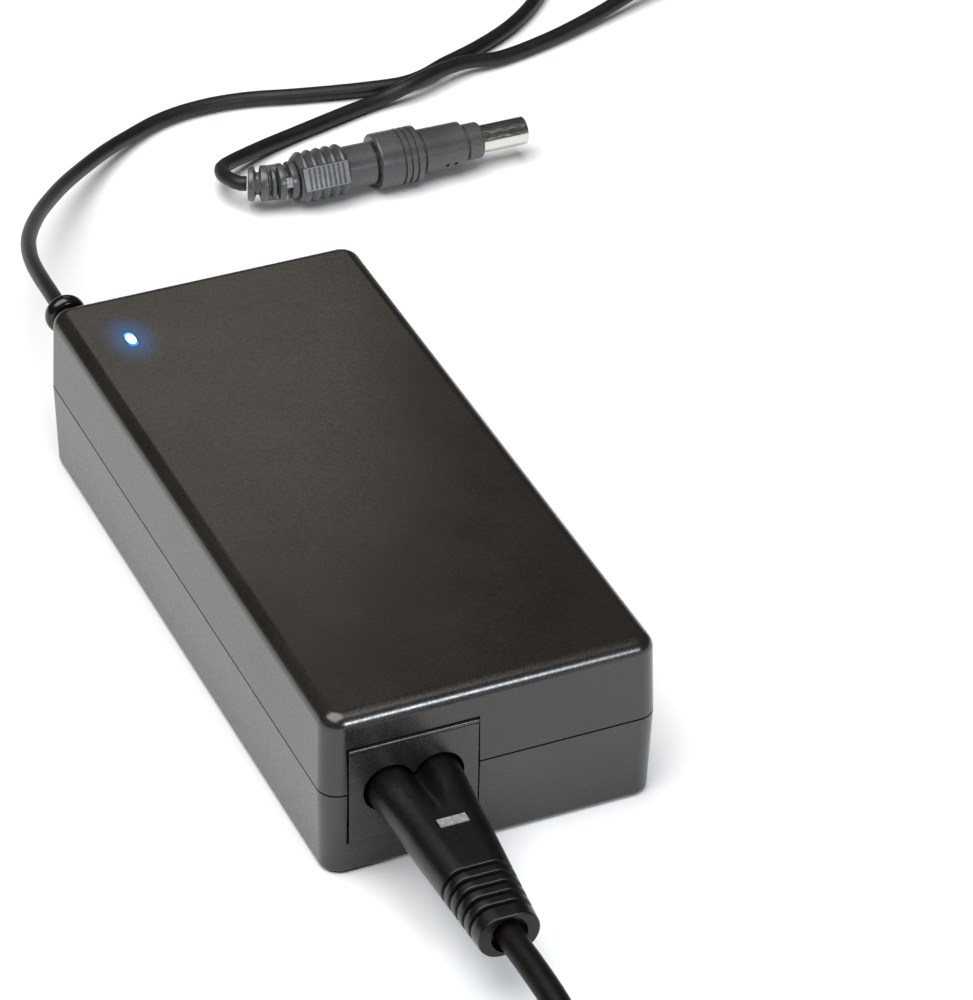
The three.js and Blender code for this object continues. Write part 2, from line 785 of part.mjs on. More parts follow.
// A flat two-pin wall plug: a six-sided outline, with the tapered strain relief moulded on.
function wallPlugOutline(x, halfWide, halfThick) {
  const chamfer = Math.min(halfThick, halfWide) * 0.35;
  const corners = [
    [halfWide, halfThick - chamfer],
    [halfWide - chamfer, halfThick],
    [-halfWide + chamfer, halfThick],
    [-halfWide, halfThick - chamfer],
    [-halfWide, -halfThick + chamfer],
    [-halfWide + chamfer, -halfThick],
    [halfWide - chamfer, -halfThick],
    [halfWide, -halfThick + chamfer],
  ];
  return corners.map(([y, z]) => new THREE.Vector3(x, wallPlugY + y, wallPlugZ + z));
}

const wallPlugBack = wallPlugX + wallPlugReliefLength;
const wallPlugFace = wallPlugBack + wallPlugLength;

function wallPlugBody() {
  const tail = wallPlugReliefDiameter / 2;
  const neck = wallPlugNeckWidth / 2;
  const wide = wallPlugWidth / 2;
  const body = loft([
    wallPlugOutline(wallPlugX, tail, tail),
    wallPlugOutline(wallPlugBack, tail * 1.4, tail * 1.3),
    wallPlugOutline(wallPlugBack + 2, neck, wallPlugZ * 0.8),
    wallPlugOutline(wallPlugBack + wallPlugLength / 3, wide * 0.8, wallPlugZ),
    wallPlugOutline(wallPlugBack + (2 * wallPlugLength) / 3, wide, wallPlugZ),
    wallPlugOutline(wallPlugFace, wide, wallPlugZ),
  ]);
  const sockets = [-1, 1].map((side) =>
    turned([
      [wallPlugFace - wallPinSocket - fit, 0],
      [wallPlugFace - wallPinSocket - fit, wallPinDiameter / 2 + snug],
      [wallPlugFace + 1, wallPinDiameter / 2 + snug],
      [wallPlugFace + 1, 0],
    ]).translate(0, wallPlugY + (side * wallPinSpacing) / 2, wallPlugZ),
  );
  return cut(body, ...sockets);
}

function wallPin(side) {
  const radius = wallPinDiameter / 2;
  const tip = wallPlugFace + wallPinLength;
  return turned([
    [wallPlugFace - wallPinSocket, 0],
    [wallPlugFace - wallPinSocket, radius],
    [tip - radius / 2, radius],
    [tip, radius / 2],
    [tip, 0],
  ]).translate(0, wallPlugY + (side * wallPinSpacing) / 2, wallPlugZ);
}

// ---------------------------------------------------------------- low-voltage lead
function dcStrainRelief() {
  const inside = halfLength - wall - draft;
  const anchor = block(
    dcExitX - dcAnchorNear,
    dcExitX + dcAnchorFar,
    inside - fit - dcAnchorThickness,
    inside - fit,
    dcExitZ - dcAnchorDepth,
    dcExitZ + dcNeckDiameter / 2 - snug,
  );
  const neck = rodAlongY(
    dcNeckDiameter / 2,
    inside - fit - dcAnchorThickness / 2,
    halfLength + dcGroove + dcCollarThickness / 2,
    dcExitX,
    dcExitZ,
  );
  const collar = rodAlongY(
    dcCollarDiameter / 2,
    halfLength + dcGroove,
    halfLength + dcGroove + dcCollarThickness,
    dcExitX,
    dcExitZ,
  );
  return join(anchor, neck, collar);
}

// Headings of the two ends and the part turn between them fix where the coil starts and ends.
const dcOpenTurn = (dcLeaveHeading - dcArriveHeading) / 360;
const dcCoil = {
  diameter: dcDiameter,
  turns: dcCoilTurnsExtra + 1 - dcOpenTurn,
  across: dcCoilAcross,
  x: dcCoilX,
  y: dcCoilY,
  startAngle: THREE.MathUtils.degToRad(dcArriveHeading + 90),
  sense: -1,
};
const dcCoilPoints = coilRoute(dcCoil);

function dcCordOut() {
  const start = halfLength + dcGroove + dcCollarThickness + fit;
  const hand = vectors([
    [dcExitX, start, dcExitZ],
    [dcExitX, start + dcDiameter, dcExitZ - 0.2],
    [-24.1, 78, 25.5],
    [-23.4, 84.5, 24.1],
    [-21.8, 94.1, 21.7],
    [-19, 104.1, 18.8],
    [-15.8, 112.1, 16.2],
    [-11, 121.7, 13],
    [-6, 130, 10.2],
    [-0.3, 138.2, 7.6],
    [6.4, 146.2, 5.2],
    [13.6, 153.3, 3.4],
    [20.6, 158.8, 2.1],
    [27.2, 162.6, 1.6],
    [33.2, 164.4, 1.5],
    [40.8, 165, 1.5],
    [48, 164.2, 1.5],
    [55.7, 162.2, 1.5],
    [63.6, 160.4, 1.5],
    [71.6, 158.9, 1.5],
    [78.6, 158.2, 1.5],
    [83.5, 159.4, 1.5],
    [88.7, 161.9, 1.5],
    [98, 165.7, 1.5],
    [107.5, 171, 1.5],
    [116, 178.2, 1.5],
    [123, 187.2, 1.7],
    [128, 196, 2],
  ]);
  const coilEnd = [beyond(dcCoilPoints, true, dcDiameter), beyond(dcCoilPoints, true, fit)];
  return cordAlong([...hand, ...coilEnd], dcDiameter);
}

const connectorZ = tipCollarDiameter / 2;
const connectorTurn = THREE.MathUtils.degToRad(connectorHeading);
const reliefTurn = THREE.MathUtils.degToRad(reliefBend);
const reliefBendRadius = reliefLength / reliefTurn;

// Where a point of the straight strain relief comes to lie once the relief is bent about its front end.
function bentRelief(point) {
  const turn = (point.x - reliefLength) / reliefBendRadius;
  const reach = reliefBendRadius - point.y;
  return new THREE.Vector3(
    reliefLength + reach * Math.sin(turn),
    reliefBendRadius - reach * Math.cos(turn),
    point.z,
  );
}

function dcCordReturn() {
  const upwards = new THREE.Vector3(0, 0, 1);
  const reliefEnd = bentRelief(new THREE.Vector3(0, 0, connectorZ))
    .applyAxisAngle(upwards, connectorTurn)
    .add(new THREE.Vector3(connectorX, connectorY, 0));
  const heading = connectorTurn - reliefTurn;
  const outOfRelief = new THREE.Vector3(-Math.cos(heading), -Math.sin(heading), 0);
  const hand = vectors([
    [148, 176.2, 4.9],
    [136, 171.8, 3.2],
    [124, 167.2, 2],
    [112, 163, 1.5],
    [100, 160, 1.6],
    [92.5, 159.4, 2.6],
    [85.1, 156.9, 3.3],
    [80.9, 155.2, 3.4],
    [77, 154.2, 2.9],
    [73.5, 154, 2],
    [69.4, 153.4, 1.5],
    [64.5, 152.1, 1.5],
    [57.2, 150, 1.5],
    [50.1, 147.9, 1.5],
    [44.1, 145.6, 1.9],
    [38.4, 142.7, 2.6],
    [34.2, 140, 3.4],
    [31.8, 137.7, 4.1],
    [30.8, 134.8, 4.7],
    [30.9, 132, 5.2],
  ]);
  const near = reliefEnd.clone().addScaledVector(outOfRelief, dcDiameter / 2);
  const end = reliefEnd.clone().addScaledVector(outOfRelief, fit);
  const start = [beyond(dcCoilPoints, false, fit), beyond(dcCoilPoints, false, dcDiameter)];
  return cordAlong([...start, ...hand, near, end], dcDiameter);
}

// ---------------------------------------------------------------- connector, on its own X axis
const connectorTilt = THREE.MathUtils.degToRad(connectorRoll);
const gripStart = reliefLength + fit;
const neckEnd = gripStart + gripLength + neckLength;

function reliefRadius(along) {
  return THREE.MathUtils.lerp(reliefRearDiameter, reliefFrontDiameter, along / reliefLength) / 2;
}

// Discs on a core, joined across each slot by bridges on two opposite sides.
function connectorRelief() {
  const core = reliefCoreDiameter / 2;
  const profile = [
    [0, 0],
    [0, reliefRadius(0)],
  ];
  for (const { from, width } of reliefSlots) {
    profile.push([from, reliefRadius(from)], [from, core]);
    profile.push([from + width, core], [from + width, reliefRadius(from + width)]);
  }
  profile.push([reliefLength, reliefRadius(reliefLength)], [reliefLength, 0]);
  const bridges = reliefSlots.map(({ from, width, openAbove }) => {
    const across = 2 * (reliefRadius(from) - reliefBridgeWall);
    const size = openAbove ? [across, reliefBridge] : [reliefBridge, across];
    return new THREE.BoxGeometry(width + 2 * snug, ...size).translate(from + width / 2, 0, 0);
  });
  const geometry = join(turned(profile), ...bridges).rotateX(connectorTilt);
  const positions = geometry.getAttribute("position");
  for (let i = 0; i < positions.count; i++) {
    const { x, y, z } = bentRelief(new THREE.Vector3().fromBufferAttribute(positions, i));
    positions.setXYZ(i, x, y, z);
  }
  return geometry;
}

function connectorGrip() {
  const crest = gripDiameter / 2;
  const profile = [
    [gripStart, 0],
    [gripStart, crest - gripRibHeight],
  ];
  const pitch = gripLength / gripRibCount;
  for (let i = 0; i < gripRibCount; i++) {
    const from = gripStart + i * pitch;
    profile.push(
      [from + 0.2 * pitch, crest],
      [from + 0.6 * pitch, crest],
      [from + pitch, crest - gripRibHeight],
    );
  }
  const neck = neckDiameter / 2;
  const bore = barrelDiameter / 2 + snug;
  profile.push([gripStart + gripLength + 0.1, neck], [neckEnd, neck], [neckEnd, bore]);
  profile.push([gripStart + gripLength, bore], [gripStart + gripLength, 0]);
  const face = crest - gripPadSunk;
  const half = gripPadHeight / 2;
  const padFrom = gripStart + fit;
  const padTo = gripStart + gripLength - fit;
  const clearing = [-1, 1].map((side) => {
    const near = side * face;
    const far = side * gripDiameter;
    return block(padFrom, padTo, Math.min(near, far), Math.max(near, far), -half, half);
  });
  const pads = block(padFrom, padTo, -face, face, -half, half);
  return join(cut(turned(profile), ...clearing), pads).rotateX(connectorTilt);
}

const barrelFrom = gripStart + gripLength + fit;
const barrelTo = neckEnd + barrelLength;
const insulatorOuter = barrelDiameter / 2 - barrelWall - snug;
const innerSleeveOuter = insulatorOuter - insulatorWall - snug;

function nestedTubes(prefix, from, to) {
  return [
    [prefix + "_barrel", tubeOf(barrelDiameter / 2, barrelDiameter / 2 - barrelWall, from, to), nickel],
    [prefix + "_insulator", tubeOf(insulatorOuter, insulatorOuter - insulatorWall, from, to - fit), epoxy],
    [prefix + "_inner_sleeve", tubeOf(innerSleeveOuter, sleeveBore / 2, from, to - 2 * fit), brass],
  ];
}

const tipStart = neckEnd + fit;
const tipNoseStart = tipStart + tipCollarLength;
const tipEndStart = tipNoseStart + tipNoseLength;
const tipFront = tipEndStart + tipEndLength;
const tipSocketFloor = barrelTo + fit;

function tipBody() {
  const collar = tipCollarDiameter / 2;
  const nose = tipNoseDiameter / 2;
  const end = tipEndDiameter / 2;
  const bore = barrelDiameter / 2 + snug;
  const bevel = 0.5;
  const edge = bevel / 2;
  const profile = [
    [tipSocketFloor, 0],
    [tipSocketFloor, bore],
    [tipStart, bore],
    [tipStart, collar - bevel],
    [tipStart + bevel, collar],
  ];
  const lastGroove = tipNoseStart - tipCollarRing - tipGrooveWidth;
  for (let i = tipGrooveCount - 1; i >= 0; i--) {
    const from = lastGroove - i * tipGroovePitch;
    const to = from + tipGrooveWidth;
    profile.push([from, collar], [from, collar - tipGrooveDepth]);
    profile.push([to, collar - tipGrooveDepth], [to, collar]);
  }
  profile.push(
    [tipNoseStart - bevel, collar],
    [tipNoseStart, nose - tipGrooveDepth],
    [tipNoseStart + tipNoseGroove, nose - tipGrooveDepth],
    [tipNoseStart + tipNoseGroove, nose],
    [tipEndStart - edge, nose],
    [tipEndStart, end],
    [tipFront - edge, end],
    [tipFront, end - edge],
    [tipFront, bore],
    [tipFront - tipBarrelSeat, bore],
    [tipFront - tipBarrelSeat, 0],
  );
  return turned(profile);
}

// The pin of the tip's socket, which the connector's inner sleeve slides over.
function tipPin() {
  const radius = tipPinDiameter / 2;
  const foot = innerSleeveOuter;
  return turned([
    [tipSocketFloor, 0],
    [tipSocketFloor, foot],
    [tipSocketFloor - fit / 2, foot],
    [tipSocketFloor - fit / 2, radius],
    [tipStart + 2, radius],
    [tipStart + 1.4, radius / 2],
    [tipStart + 1.4, 0],
  ].reverse());
}

// ---------------------------------------------------------------- inside the case
const ledX = -halfWidth + ledFromSide;
const ledY = halfLength - ledFromBack;

// Rows of components share the board's length evenly.
const rowDepths = [
  filterCapacitor.y,
  2 * (chokeOuterRadius + chokeWire),
  bulkDiameter,
  transformerCore.y,
  outputCapacitorDiameter,
];
const sumOf = (depths) => depths.reduce((sum, depth) => sum + depth, 0);
const rowGap = (boardBack - boardFront - sumOf(rowDepths)) / (rowDepths.length + 1);
const rowCentres = rowDepths.map(
  (depth, i) => boardFront + rowGap * (i + 1) + sumOf(rowDepths.slice(0, i)) + depth / 2,
);
const [filterRow, chokeRow, bulkRow, transformerRow, outputRow] = rowCentres;
const leftEdge = -boardHalfWidth + componentGap;
const rightEdge = boardHalfWidth - componentGap;
const filterX = leftEdge + filterCapacitor.x / 2;
const chokeX = leftEdge + chokeOuterRadius + chokeWire;
const bulkX = leftEdge + bulkLength / 2;
const transformerX = leftEdge + transformerCore.x / 2;
const outputX = ledX + lensWidth / 2 + lensFlange + componentGap + outputCapacitorDiameter / 2;

function mainBoard() {
  return block(-boardHalfWidth, boardHalfWidth, boardFront, boardBack, boardBottom, boardTop);
}

function insulationSheet() {
  const half = boardHalfWidth - postInset - postRadius - fit;
  return block(-half, half, boardFront, boardBack, wall, wall + sheetThickness);
}

function heatSpreader() {
  const back = ledY - lensLength / 2 - lensFlange - componentGap;
  const top = ceiling - fit;
  return block(-boardHalfWidth, boardHalfWidth, boardFront, back, top - spreaderThickness, top);
}

function ringSolid(outer, inner, height, z) {
  const points = [
    [inner, 0],
    [outer, 0],
    [outer, height],
    [inner, height],
    [inner, 0],
  ].map(([radius, along]) => new THREE.Vector2(radius, along));
  return new THREE.LatheGeometry(points, lathingSides).rotateX(Math.PI / 2).translate(0, 0, z);
}

const chokeZ = boardTop + chokeWire + fit;

function chokeCore() {
  return ringSolid(chokeOuterRadius, chokeInnerRadius, chokeHeight, chokeZ).translate(chokeX, chokeRow, 0);
}

// One half of the choke's wire, as a sleeve round the core's left or right side.
function chokeWinding(side) {
  const outer = ringSolid(
    chokeOuterRadius + chokeWire,
    chokeInnerRadius - chokeWire,
    chokeHeight + 2 * (chokeWire + fit),
    boardTop,
  );
  const core = ringSolid(
    chokeOuterRadius + snug,
    chokeInnerRadius - snug,
    chokeHeight + 2 * snug,
    chokeZ - snug,
  );
  const half = chokeOuterRadius * chokeWindingShare;
  const [near, far] = [chokeWindingFromMiddle, chokeOuterRadius + 2 * chokeWire];
  const sector = block(side > 0 ? near : -far, side > 0 ? far : -near, -half, half, 0, caseHeight);
  return overlapOf(cut(outer, core), sector).translate(chokeX, chokeRow, 0);
}

function bulkCapacitor() {
  const radius = bulkDiameter / 2;
  const half = bulkLength / 2;
  const bead = 0.6;
  return turned([
    [-half, 0],
    [-half, radius],
    [half - 3, radius],
    [half - 2.4, radius - bead],
    [half - 1.8, radius],
    [half, radius],
    [half, 0],
  ]).translate(bulkX, bulkRow, boardTop + radius);
}

const transformerZ = boardTop + transformerWindingHeight / 2;

function transformerCoreSolid() {
  const { x, y, z } = transformerCore;
  const windowX = x / 2 - transformerYoke;
  const outer = block(-x / 2, x / 2, -y / 2, y / 2, -z / 2, z / 2);
  const windows = [-1, 1].map((side) => {
    const near = transformerLeg / 2;
    const far = y / 2 - transformerLeg / 2;
    return block(-windowX, windowX, side > 0 ? near : -far, side > 0 ? far : -near, -z, z);
  });
  return cut(outer, ...windows).translate(transformerX, transformerRow, transformerZ);
}

function transformerWinding() {
  const halfX = transformerCore.x / 2 - transformerYoke - fit;
  const near = transformerLeg / 2 + fit;
  const far = transformerCore.y / 2 - transformerLeg / 2 - fit;
  const halfZ = transformerCore.z / 2 + fit;
  const outer = block(-halfX, halfX, -far, far, -transformerWindingHeight / 2, transformerWindingHeight / 2);
  const leg = block(-halfX - 1, halfX + 1, -near, near, -halfZ, halfZ);
  return cut(outer, leg).translate(transformerX, transformerRow, transformerZ);
}

// An L-shaped aluminium plate on the board's right edge; its power device leans on it.
function heatSink(y, length) {
  const [front, back] = [y - length / 2, y + length / 2];
  const foot = block(rightEdge - sinkFoot, rightEdge, front, back, boardTop, boardTop + sinkThickness);
  const blade = block(rightEdge - sinkThickness, rightEdge, front, back, boardTop, boardTop + sinkHeight);
  return join(foot, blade);
}

function powerDevice(y) {
  const x = rightEdge - sinkThickness - transistor.x / 2;
  return standing({ ...transistor, z: transistor.z - sinkThickness }, x, y, boardTop + sinkThickness);
}

function lightPipe() {
  const halfL = lensLength / 2;
  const halfW = lensWidth / 2;
  const flangeTop = ceiling - fit;
  const window = block(
    ledX - halfW,
    ledX + halfW,
    ledY - halfL,
    ledY + halfL,
    flangeTop - lensFlangeThickness,
    caseHeight,
  );
  const flange = block(
    ledX - halfW - lensFlange,
    ledX + halfW + lensFlange,
    ledY - halfL - lensFlange,
    ledY + halfL + lensFlange,
    flangeTop - lensFlangeThickness,
    flangeTop,
  );
  const stemBottom = boardTop + ledHeight + fit;
  const stem = block(ledX - halfW, ledX + halfW, ledY - halfW, ledY + halfW, stemBottom, flangeTop);
  return join(window, flange, stem);
}

// ---------------------------------------------------------------- the assembly
const adapter = new THREE.Group();

function add(group, name, geometry, material) {
  const mesh = new THREE.Mesh(geometry, material);
  mesh.name = name;
  group.add(mesh);
  return mesh;
}

function addCase(group) {
  add(group, "lower_shell", lowerShell(), caseBlack);
  add(group, "upper_shell", upperShell(), caseBlack);
  add(group, "rating_label", ratingLabel(), labelBlack);
  add(group, "inlet_housing", inletHousing(), inletBlack);
  add(group, "inlet_pin_left", inletPin(-1), nickel);
  add(group, "inlet_pin_right", inletPin(1), nickel);
  add(group, "light_pipe", lightPipe(), clearLens);
}

function addElectronics(group) {
  const onBoard = (size, x, y) => standing(size, x, y, boardTop);
  const fuseX = filterX + filterCapacitor.x / 2 + componentGap + fuseDiameter / 2;
  const bridgeX = chokeX + chokeOuterRadius + chokeWire + componentGap + bridge.x / 2;
  const safetyX = fuseX + fuseDiameter / 2 + componentGap + safetyCapacitorDiameter / 2;
  const safetySize = { x: safetyCapacitorDiameter, y: safetyCapacitorThickness, z: safetyCapacitorDiameter };
  const secondX = outputX + outputCapacitorDiameter + componentGap;
  const outputChokeX = secondX + outputCapacitorDiameter / 2 + componentGap + outputChokeRadius;
  const chipX = transformerX + transformerCore.x / 2 + componentGap + chip.x / 2;
  const sinkLength = transistor.y + 2 * componentGap;
  add(group, "main_board", mainBoard(), boardGreen);
  add(group, "insulation_sheet", insulationSheet(), filmGrey);
  add(group, "heat_spreader", heatSpreader(), aluminium);
  add(group, "fuse", upright(fuseDiameter / 2, fuseHeight, fuseX, filterRow, boardTop), sleeveBlack);
  add(group, "filter_capacitor", onBoard(filterCapacitor, filterX, filterRow), boxYellow);
  add(group, "safety_capacitor", onBoard(safetySize, safetyX, filterRow), ceramicBlue);
  add(group, "choke_core", chokeCore(), ferrite);
  add(group, "choke_winding_left", chokeWinding(-1), copper);
  add(group, "choke_winding_right", chokeWinding(1), copper);
  add(group, "bridge_rectifier", onBoard(bridge, bridgeX, chokeRow), epoxy);
  add(group, "bulk_capacitor", bulkCapacitor(), sleeveBlack);
  add(group, "transformer_core", transformerCoreSolid(), ferrite);
  add(group, "transformer_winding", transformerWinding(), tape);
  add(group, "primary_heat_sink", heatSink(bulkRow, sinkLength), aluminium);
  add(group, "switching_transistor", powerDevice(bulkRow), epoxy);
  add(group, "secondary_heat_sink", heatSink(transformerRow, sinkLength), aluminium);
  add(group, "output_rectifier", powerDevice(transformerRow), epoxy);
  add(group, "controller_chip", onBoard(chip, chipX, transformerRow - chip.y), epoxy);
  add(group, "optocoupler", onBoard(coupler, chipX, transformerRow + coupler.y), epoxy);
  for (const [name, x] of [["output_capacitor_a", outputX], ["output_capacitor_b", secondX]]) {
    const can = upright(outputCapacitorDiameter / 2, outputCapacitorHeight, x, outputRow, boardTop);
    add(group, name, can, sleeveBlack);
  }
  const outputChoke = ringSolid(outputChokeRadius, outputChokeRadius / 3, outputChokeRadius, boardTop);
  add(group, "output_choke", outputChoke.translate(outputChokeX, outputRow, 0), copper);
  add(group, "indicator_led", upright(ledDiameter / 2, ledHeight, ledX, ledY, boardTop), clearLens);
}

function addDcLead(group) {
  add(group, "dc_strain_relief", dcStrainRelief(), rubberBlack);
  add(group, "dc_cord_out", dcCordOut(), cordBlack);
  add(group, "dc_coil", coilTube(dcCoilPoints, dcDiameter), cordBlack);
  add(group, "dc_coil_tie", coilTie(dcCoil, dcTieWidth, THREE.MathUtils.degToRad(20)), rubberBlack);
  add(group, "dc_cord_return", dcCordReturn(), cordBlack);
}

function addConnector(group) {
  const axis = new THREE.Group();
  axis.position.set(connectorX, connectorY, connectorZ);
  axis.rotation.z = connectorTurn;
  group.add(axis);
  add(axis, "connector_strain_relief", connectorRelief(), connectorBlack);
  add(axis, "connector_grip", connectorGrip(), connectorBlack);
  for (const [name, geometry, material] of nestedTubes("connector", barrelFrom, barrelTo)) {
    add(axis, name, geometry, material);
  }
  add(axis, "tip_body", tipBody(), connectorBlack);
  add(axis, "tip_pin", tipPin(), brass);
  const tipSeat = tipFront - tipBarrelSeat + fit;
  for (const [name, geometry, material] of nestedTubes("tip", tipSeat, tipFront + barrelLength)) {
    add(axis, name, geometry, material);
  }
}

function addMainsLead(group) {
  add(group, "mains_plug", mainsPlug(), rubberBlack);
  add(group, "mains_plug_sleeve_left", plugSleeve(-1), brass);
  add(group, "mains_plug_sleeve_right", plugSleeve(1), brass);
  add(group, "mains_cord_out", mainsCordOut(), cordBlack);
  add(group, "mains_coil", coilTube(mainsCoilPoints, mainsDiameter), cordBlack);
  add(group, "mains_coil_tie", coilTie(mainsCoil, mainsTieWidth, THREE.MathUtils.degToRad(-20)), rubberBlack);
  add(group, "mains_cord_end", mainsCordEnd(), cordBlack);
  add(group, "wall_plug_body", wallPlugBody(), rubberBlack);
  add(group, "wall_plug_pin_left", wallPin(1), nickel);
  add(group, "wall_plug_pin_right", wallPin(-1), nickel);
}

addCase(adapter);
addElectronics(adapter);
addDcLead(adapter);
addConnector(adapter);
addMainsLead(adapter);

for (const [name, points, diameter] of [
  ["mains coil", mainsCoilPoints, mainsDiameter],
  ["low-voltage coil", dcCoilPoints, dcDiameter],
]) {
  console.log(name + ": least gap to itself " + leastGap(points, diameter).toFixed(2) + " mm");
}
console.log("travel: mains plug " + plugTravel + " mm, connector tip " + tipTravel + " mm");

export default adapter;
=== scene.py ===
"""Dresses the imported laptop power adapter: smooth case shells, inlet, plugs, cords, connector and lamp, each
with its finish, on a pale floor in soft studio light."""

import math

import bmesh
import bpy
from mathutils import Matrix, Vector


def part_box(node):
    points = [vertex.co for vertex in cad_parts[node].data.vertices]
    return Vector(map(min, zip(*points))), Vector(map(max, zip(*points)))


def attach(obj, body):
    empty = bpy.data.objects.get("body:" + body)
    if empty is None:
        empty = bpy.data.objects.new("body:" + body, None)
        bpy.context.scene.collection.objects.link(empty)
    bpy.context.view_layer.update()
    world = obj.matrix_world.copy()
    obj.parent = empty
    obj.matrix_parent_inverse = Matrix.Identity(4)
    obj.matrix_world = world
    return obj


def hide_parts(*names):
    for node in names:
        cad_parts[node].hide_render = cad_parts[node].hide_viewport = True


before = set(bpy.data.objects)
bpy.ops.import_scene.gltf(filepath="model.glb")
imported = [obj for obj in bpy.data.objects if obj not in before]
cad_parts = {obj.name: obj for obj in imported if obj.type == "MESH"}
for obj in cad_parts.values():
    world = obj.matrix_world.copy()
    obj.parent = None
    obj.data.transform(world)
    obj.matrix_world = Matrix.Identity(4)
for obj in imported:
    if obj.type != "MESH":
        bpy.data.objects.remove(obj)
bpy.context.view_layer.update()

bl_info = {
    "name": "Laptop Power Adapter",
    "version": (1, 0, 0),
    "blender": (4, 5, 0),
    "location": "View3D > Sidebar > Adapter",
    "description": "Models and finishes the visible pieces of a laptop power adapter",
    "category": "Object",
}

MM = 0.001
UP = Vector((0, 0, 1))
TOUCH = 0.01  # mm: closer than this counts as the same place

# ---------------------------------------------------------------- places shared with the CAD source, in mm
HALF_WIDTH, HALF_LENGTH, HEIGHT = (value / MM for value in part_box("upper_shell")[1])
PARTING = 16.1
WALL = 2.2
DRAFT = 0.45
CORNER = 3.5
TOP_EDGE = 2.5
BASE_EDGE = 0.9
SEAM = 0.3
FIT = 0.3
SNUG = 0.15
LIP = 1.6
CEILING = HEIGHT - WALL
LABEL = (42, 84)
LABEL_RECESS = 0.4
BOARD_BASE = 5.0
POST = 2.2
POSTS = [(x, y) for x in (-22.2, 22.2) for y in (-42.1, 56)]

INLET_X = -HALF_WIDTH + 15.3
INLET_Z = HEIGHT / 2
PLATE = (22.3, 18.4)
SOCKET = {"radius": 4.45, "spacing": 8.5, "waist": 1.95, "depth": 13, "wall": 1.6}
PIN_SPACING = 8.6
PIN_PLACES = (INLET_X - PIN_SPACING / 2, INLET_X + PIN_SPACING / 2)
PIN = 2.4
PLATE_PROUD = 0.05  # how far the inlet's plate stands out of the case
FLANGE = {"front": -HALF_LENGTH + WALL + DRAFT + FIT, "rim": 0.7, "thickness": 1.4}
PLATE_OVERLAP = 0.2  # how far the plate reaches into the flange
LIP_ON_PLATE = {"height": 0.55, "proud": 0.15, "sunk": 0.3, "line": 0.3, "line_depth": 0.25, "round": 0.32}

PLUG_NOSE = 11.8
PLUG_LENGTH = 39
PLUG_END = -HALF_LENGTH - PLUG_LENGTH
PLUG_DROP = 1.3
PLUG_SHIFT = -0.6
PLUG_END_X = INLET_X + PLUG_SHIFT
PLUG_END_Z = INLET_Z - PLUG_DROP
PLUG_LOBE = 3.9
PLUG_NOTCH = 2.4
PLUG_HALF_WIDTHS = (8.0, 7.0, 5.2)  # in the inlet, at the shoulder and at the end
PLUG_SHOULDER = 15
GROOVES = {"count": 5, "pitch": 2.32, "width": 1.2, "depth": 0.95, "at_sides": 0.55}
PLUG_RING = 2.6
FIRST_GROOVE = PLUG_LENGTH - PLUG_RING - GROOVES["width"] - (GROOVES["count"] - 1) * GROOVES["pitch"]
PLUG_MOUTH = 2.1
PLUG_MOUTH_HALF = (3.1, 3.3)
PLUG_NOSE_ROUND = 0.5
PLUG_END_ROUND = 0.3
# A groove's section: mm from its start and share of its depth, with a rounded edge on the side to the case
GROOVE_EDGE = [math.radians(angle) for angle in range(0, 90, 15)]
GROOVE_SECTION = [(0.25 * math.sin(turn), 0.26 * (1 - math.cos(turn))) for turn in GROOVE_EDGE]
GROOVE_SECTION += [(0.3, 0.88), (0.4, 1), (0.86, 1), (0.96, 0.9), (1.1, 0.1), (1.2, 0)]
MARKING_PAD = {"centre": (INLET_X + 0.1, -80.3, 18.45), "half": (2.45, 1.0, 0.6)}
SLEEVE_CHAMBER = {"mouth": 2.8, "radius": 2, "from": 1.8, "to": 9.6}  # mm behind the nose

LAMP = (-HALF_WIDTH + 10.4, HALF_LENGTH - 15.4)
LAMP_WINDOW = (1.9, 4.6)
LAMP_FLANGE = {"spare": 1.2, "below": (1.3, 0.3)}  # how much wider, and how far under the ceiling
LAMP_END_ROUND = 0.96  # of the slot's half width
LAMP_CORE_LEVEL = 7
LAMP_RIM_LEVEL = 0.04
LAMP_CORE = (0.64, 0.98)  # mm from the middle: where the white-hot core starts to fade, and where it has gone
LAMP_CORE_SHARES = (1, 0.52, 0)  # the core is longer along Y
LAMP_GLOW_SHARES = (1, 0.62, 1)  # and so is the glow
LAMP_GLOW_FALL = 1.8  # power of the glow's fading
DC_EXIT = (-HALF_WIDTH + 4.7, HEIGHT - 4.4)
DC_GROOVE = 1.2  # between case and collar
DC_COLLAR = (7.4, 3)  # across and long
DC_COLLAR_ROUND = 1.3
DC_NECK = 4.2
DC_ANCHOR = {"left": 1.4, "right": 3, "below": 6, "above": 1.95, "thickness": 1.8}  # inside, round the cord's axis

CONNECTOR = Vector((33.3, 126.45, 5.55))
CONNECTOR_ROLL = math.radians(-24)
RELIEF_LENGTH = 8.9
RELIEF_RADII = (3.4, 3.65)  # at its rear and at its front
RELIEF_CORE = 2.2
RELIEF_BRIDGE = 2.2
RELIEF_BRIDGE_WALL = 0.15  # how far the bridges stand back from the rims
RELIEF_EDGES = (0.3, 0.12)  # of the first disc and of the others
RELIEF_FLARE = 0.3  # how much the slots narrow towards the core
RELIEF_LOW_DISC = 0.45  # how much the disc after the second slot stands back
RELIEF_BEND = math.radians(24)
RELIEF_SLOTS = ((1.2, 2.3, True), (3.6, 4.35, False), (5.0, 5.6, False), (6.7, 7.7, True))  # open above or not
GRIP_START = 9.2
GRIP_END = 19.2
NECK_END = 25.07
GRIP_RADIUS = 5.05
RIB_HEIGHT = 0.65
RIB_COUNT = 5
RIB_START = 0.35
RIB_FULLNESS = 0.6  # power of the ribs' wave: under 1 gives broad ribs with narrow valleys
GRIP_EDGE = 0.3
NECK_EDGE = 0.25
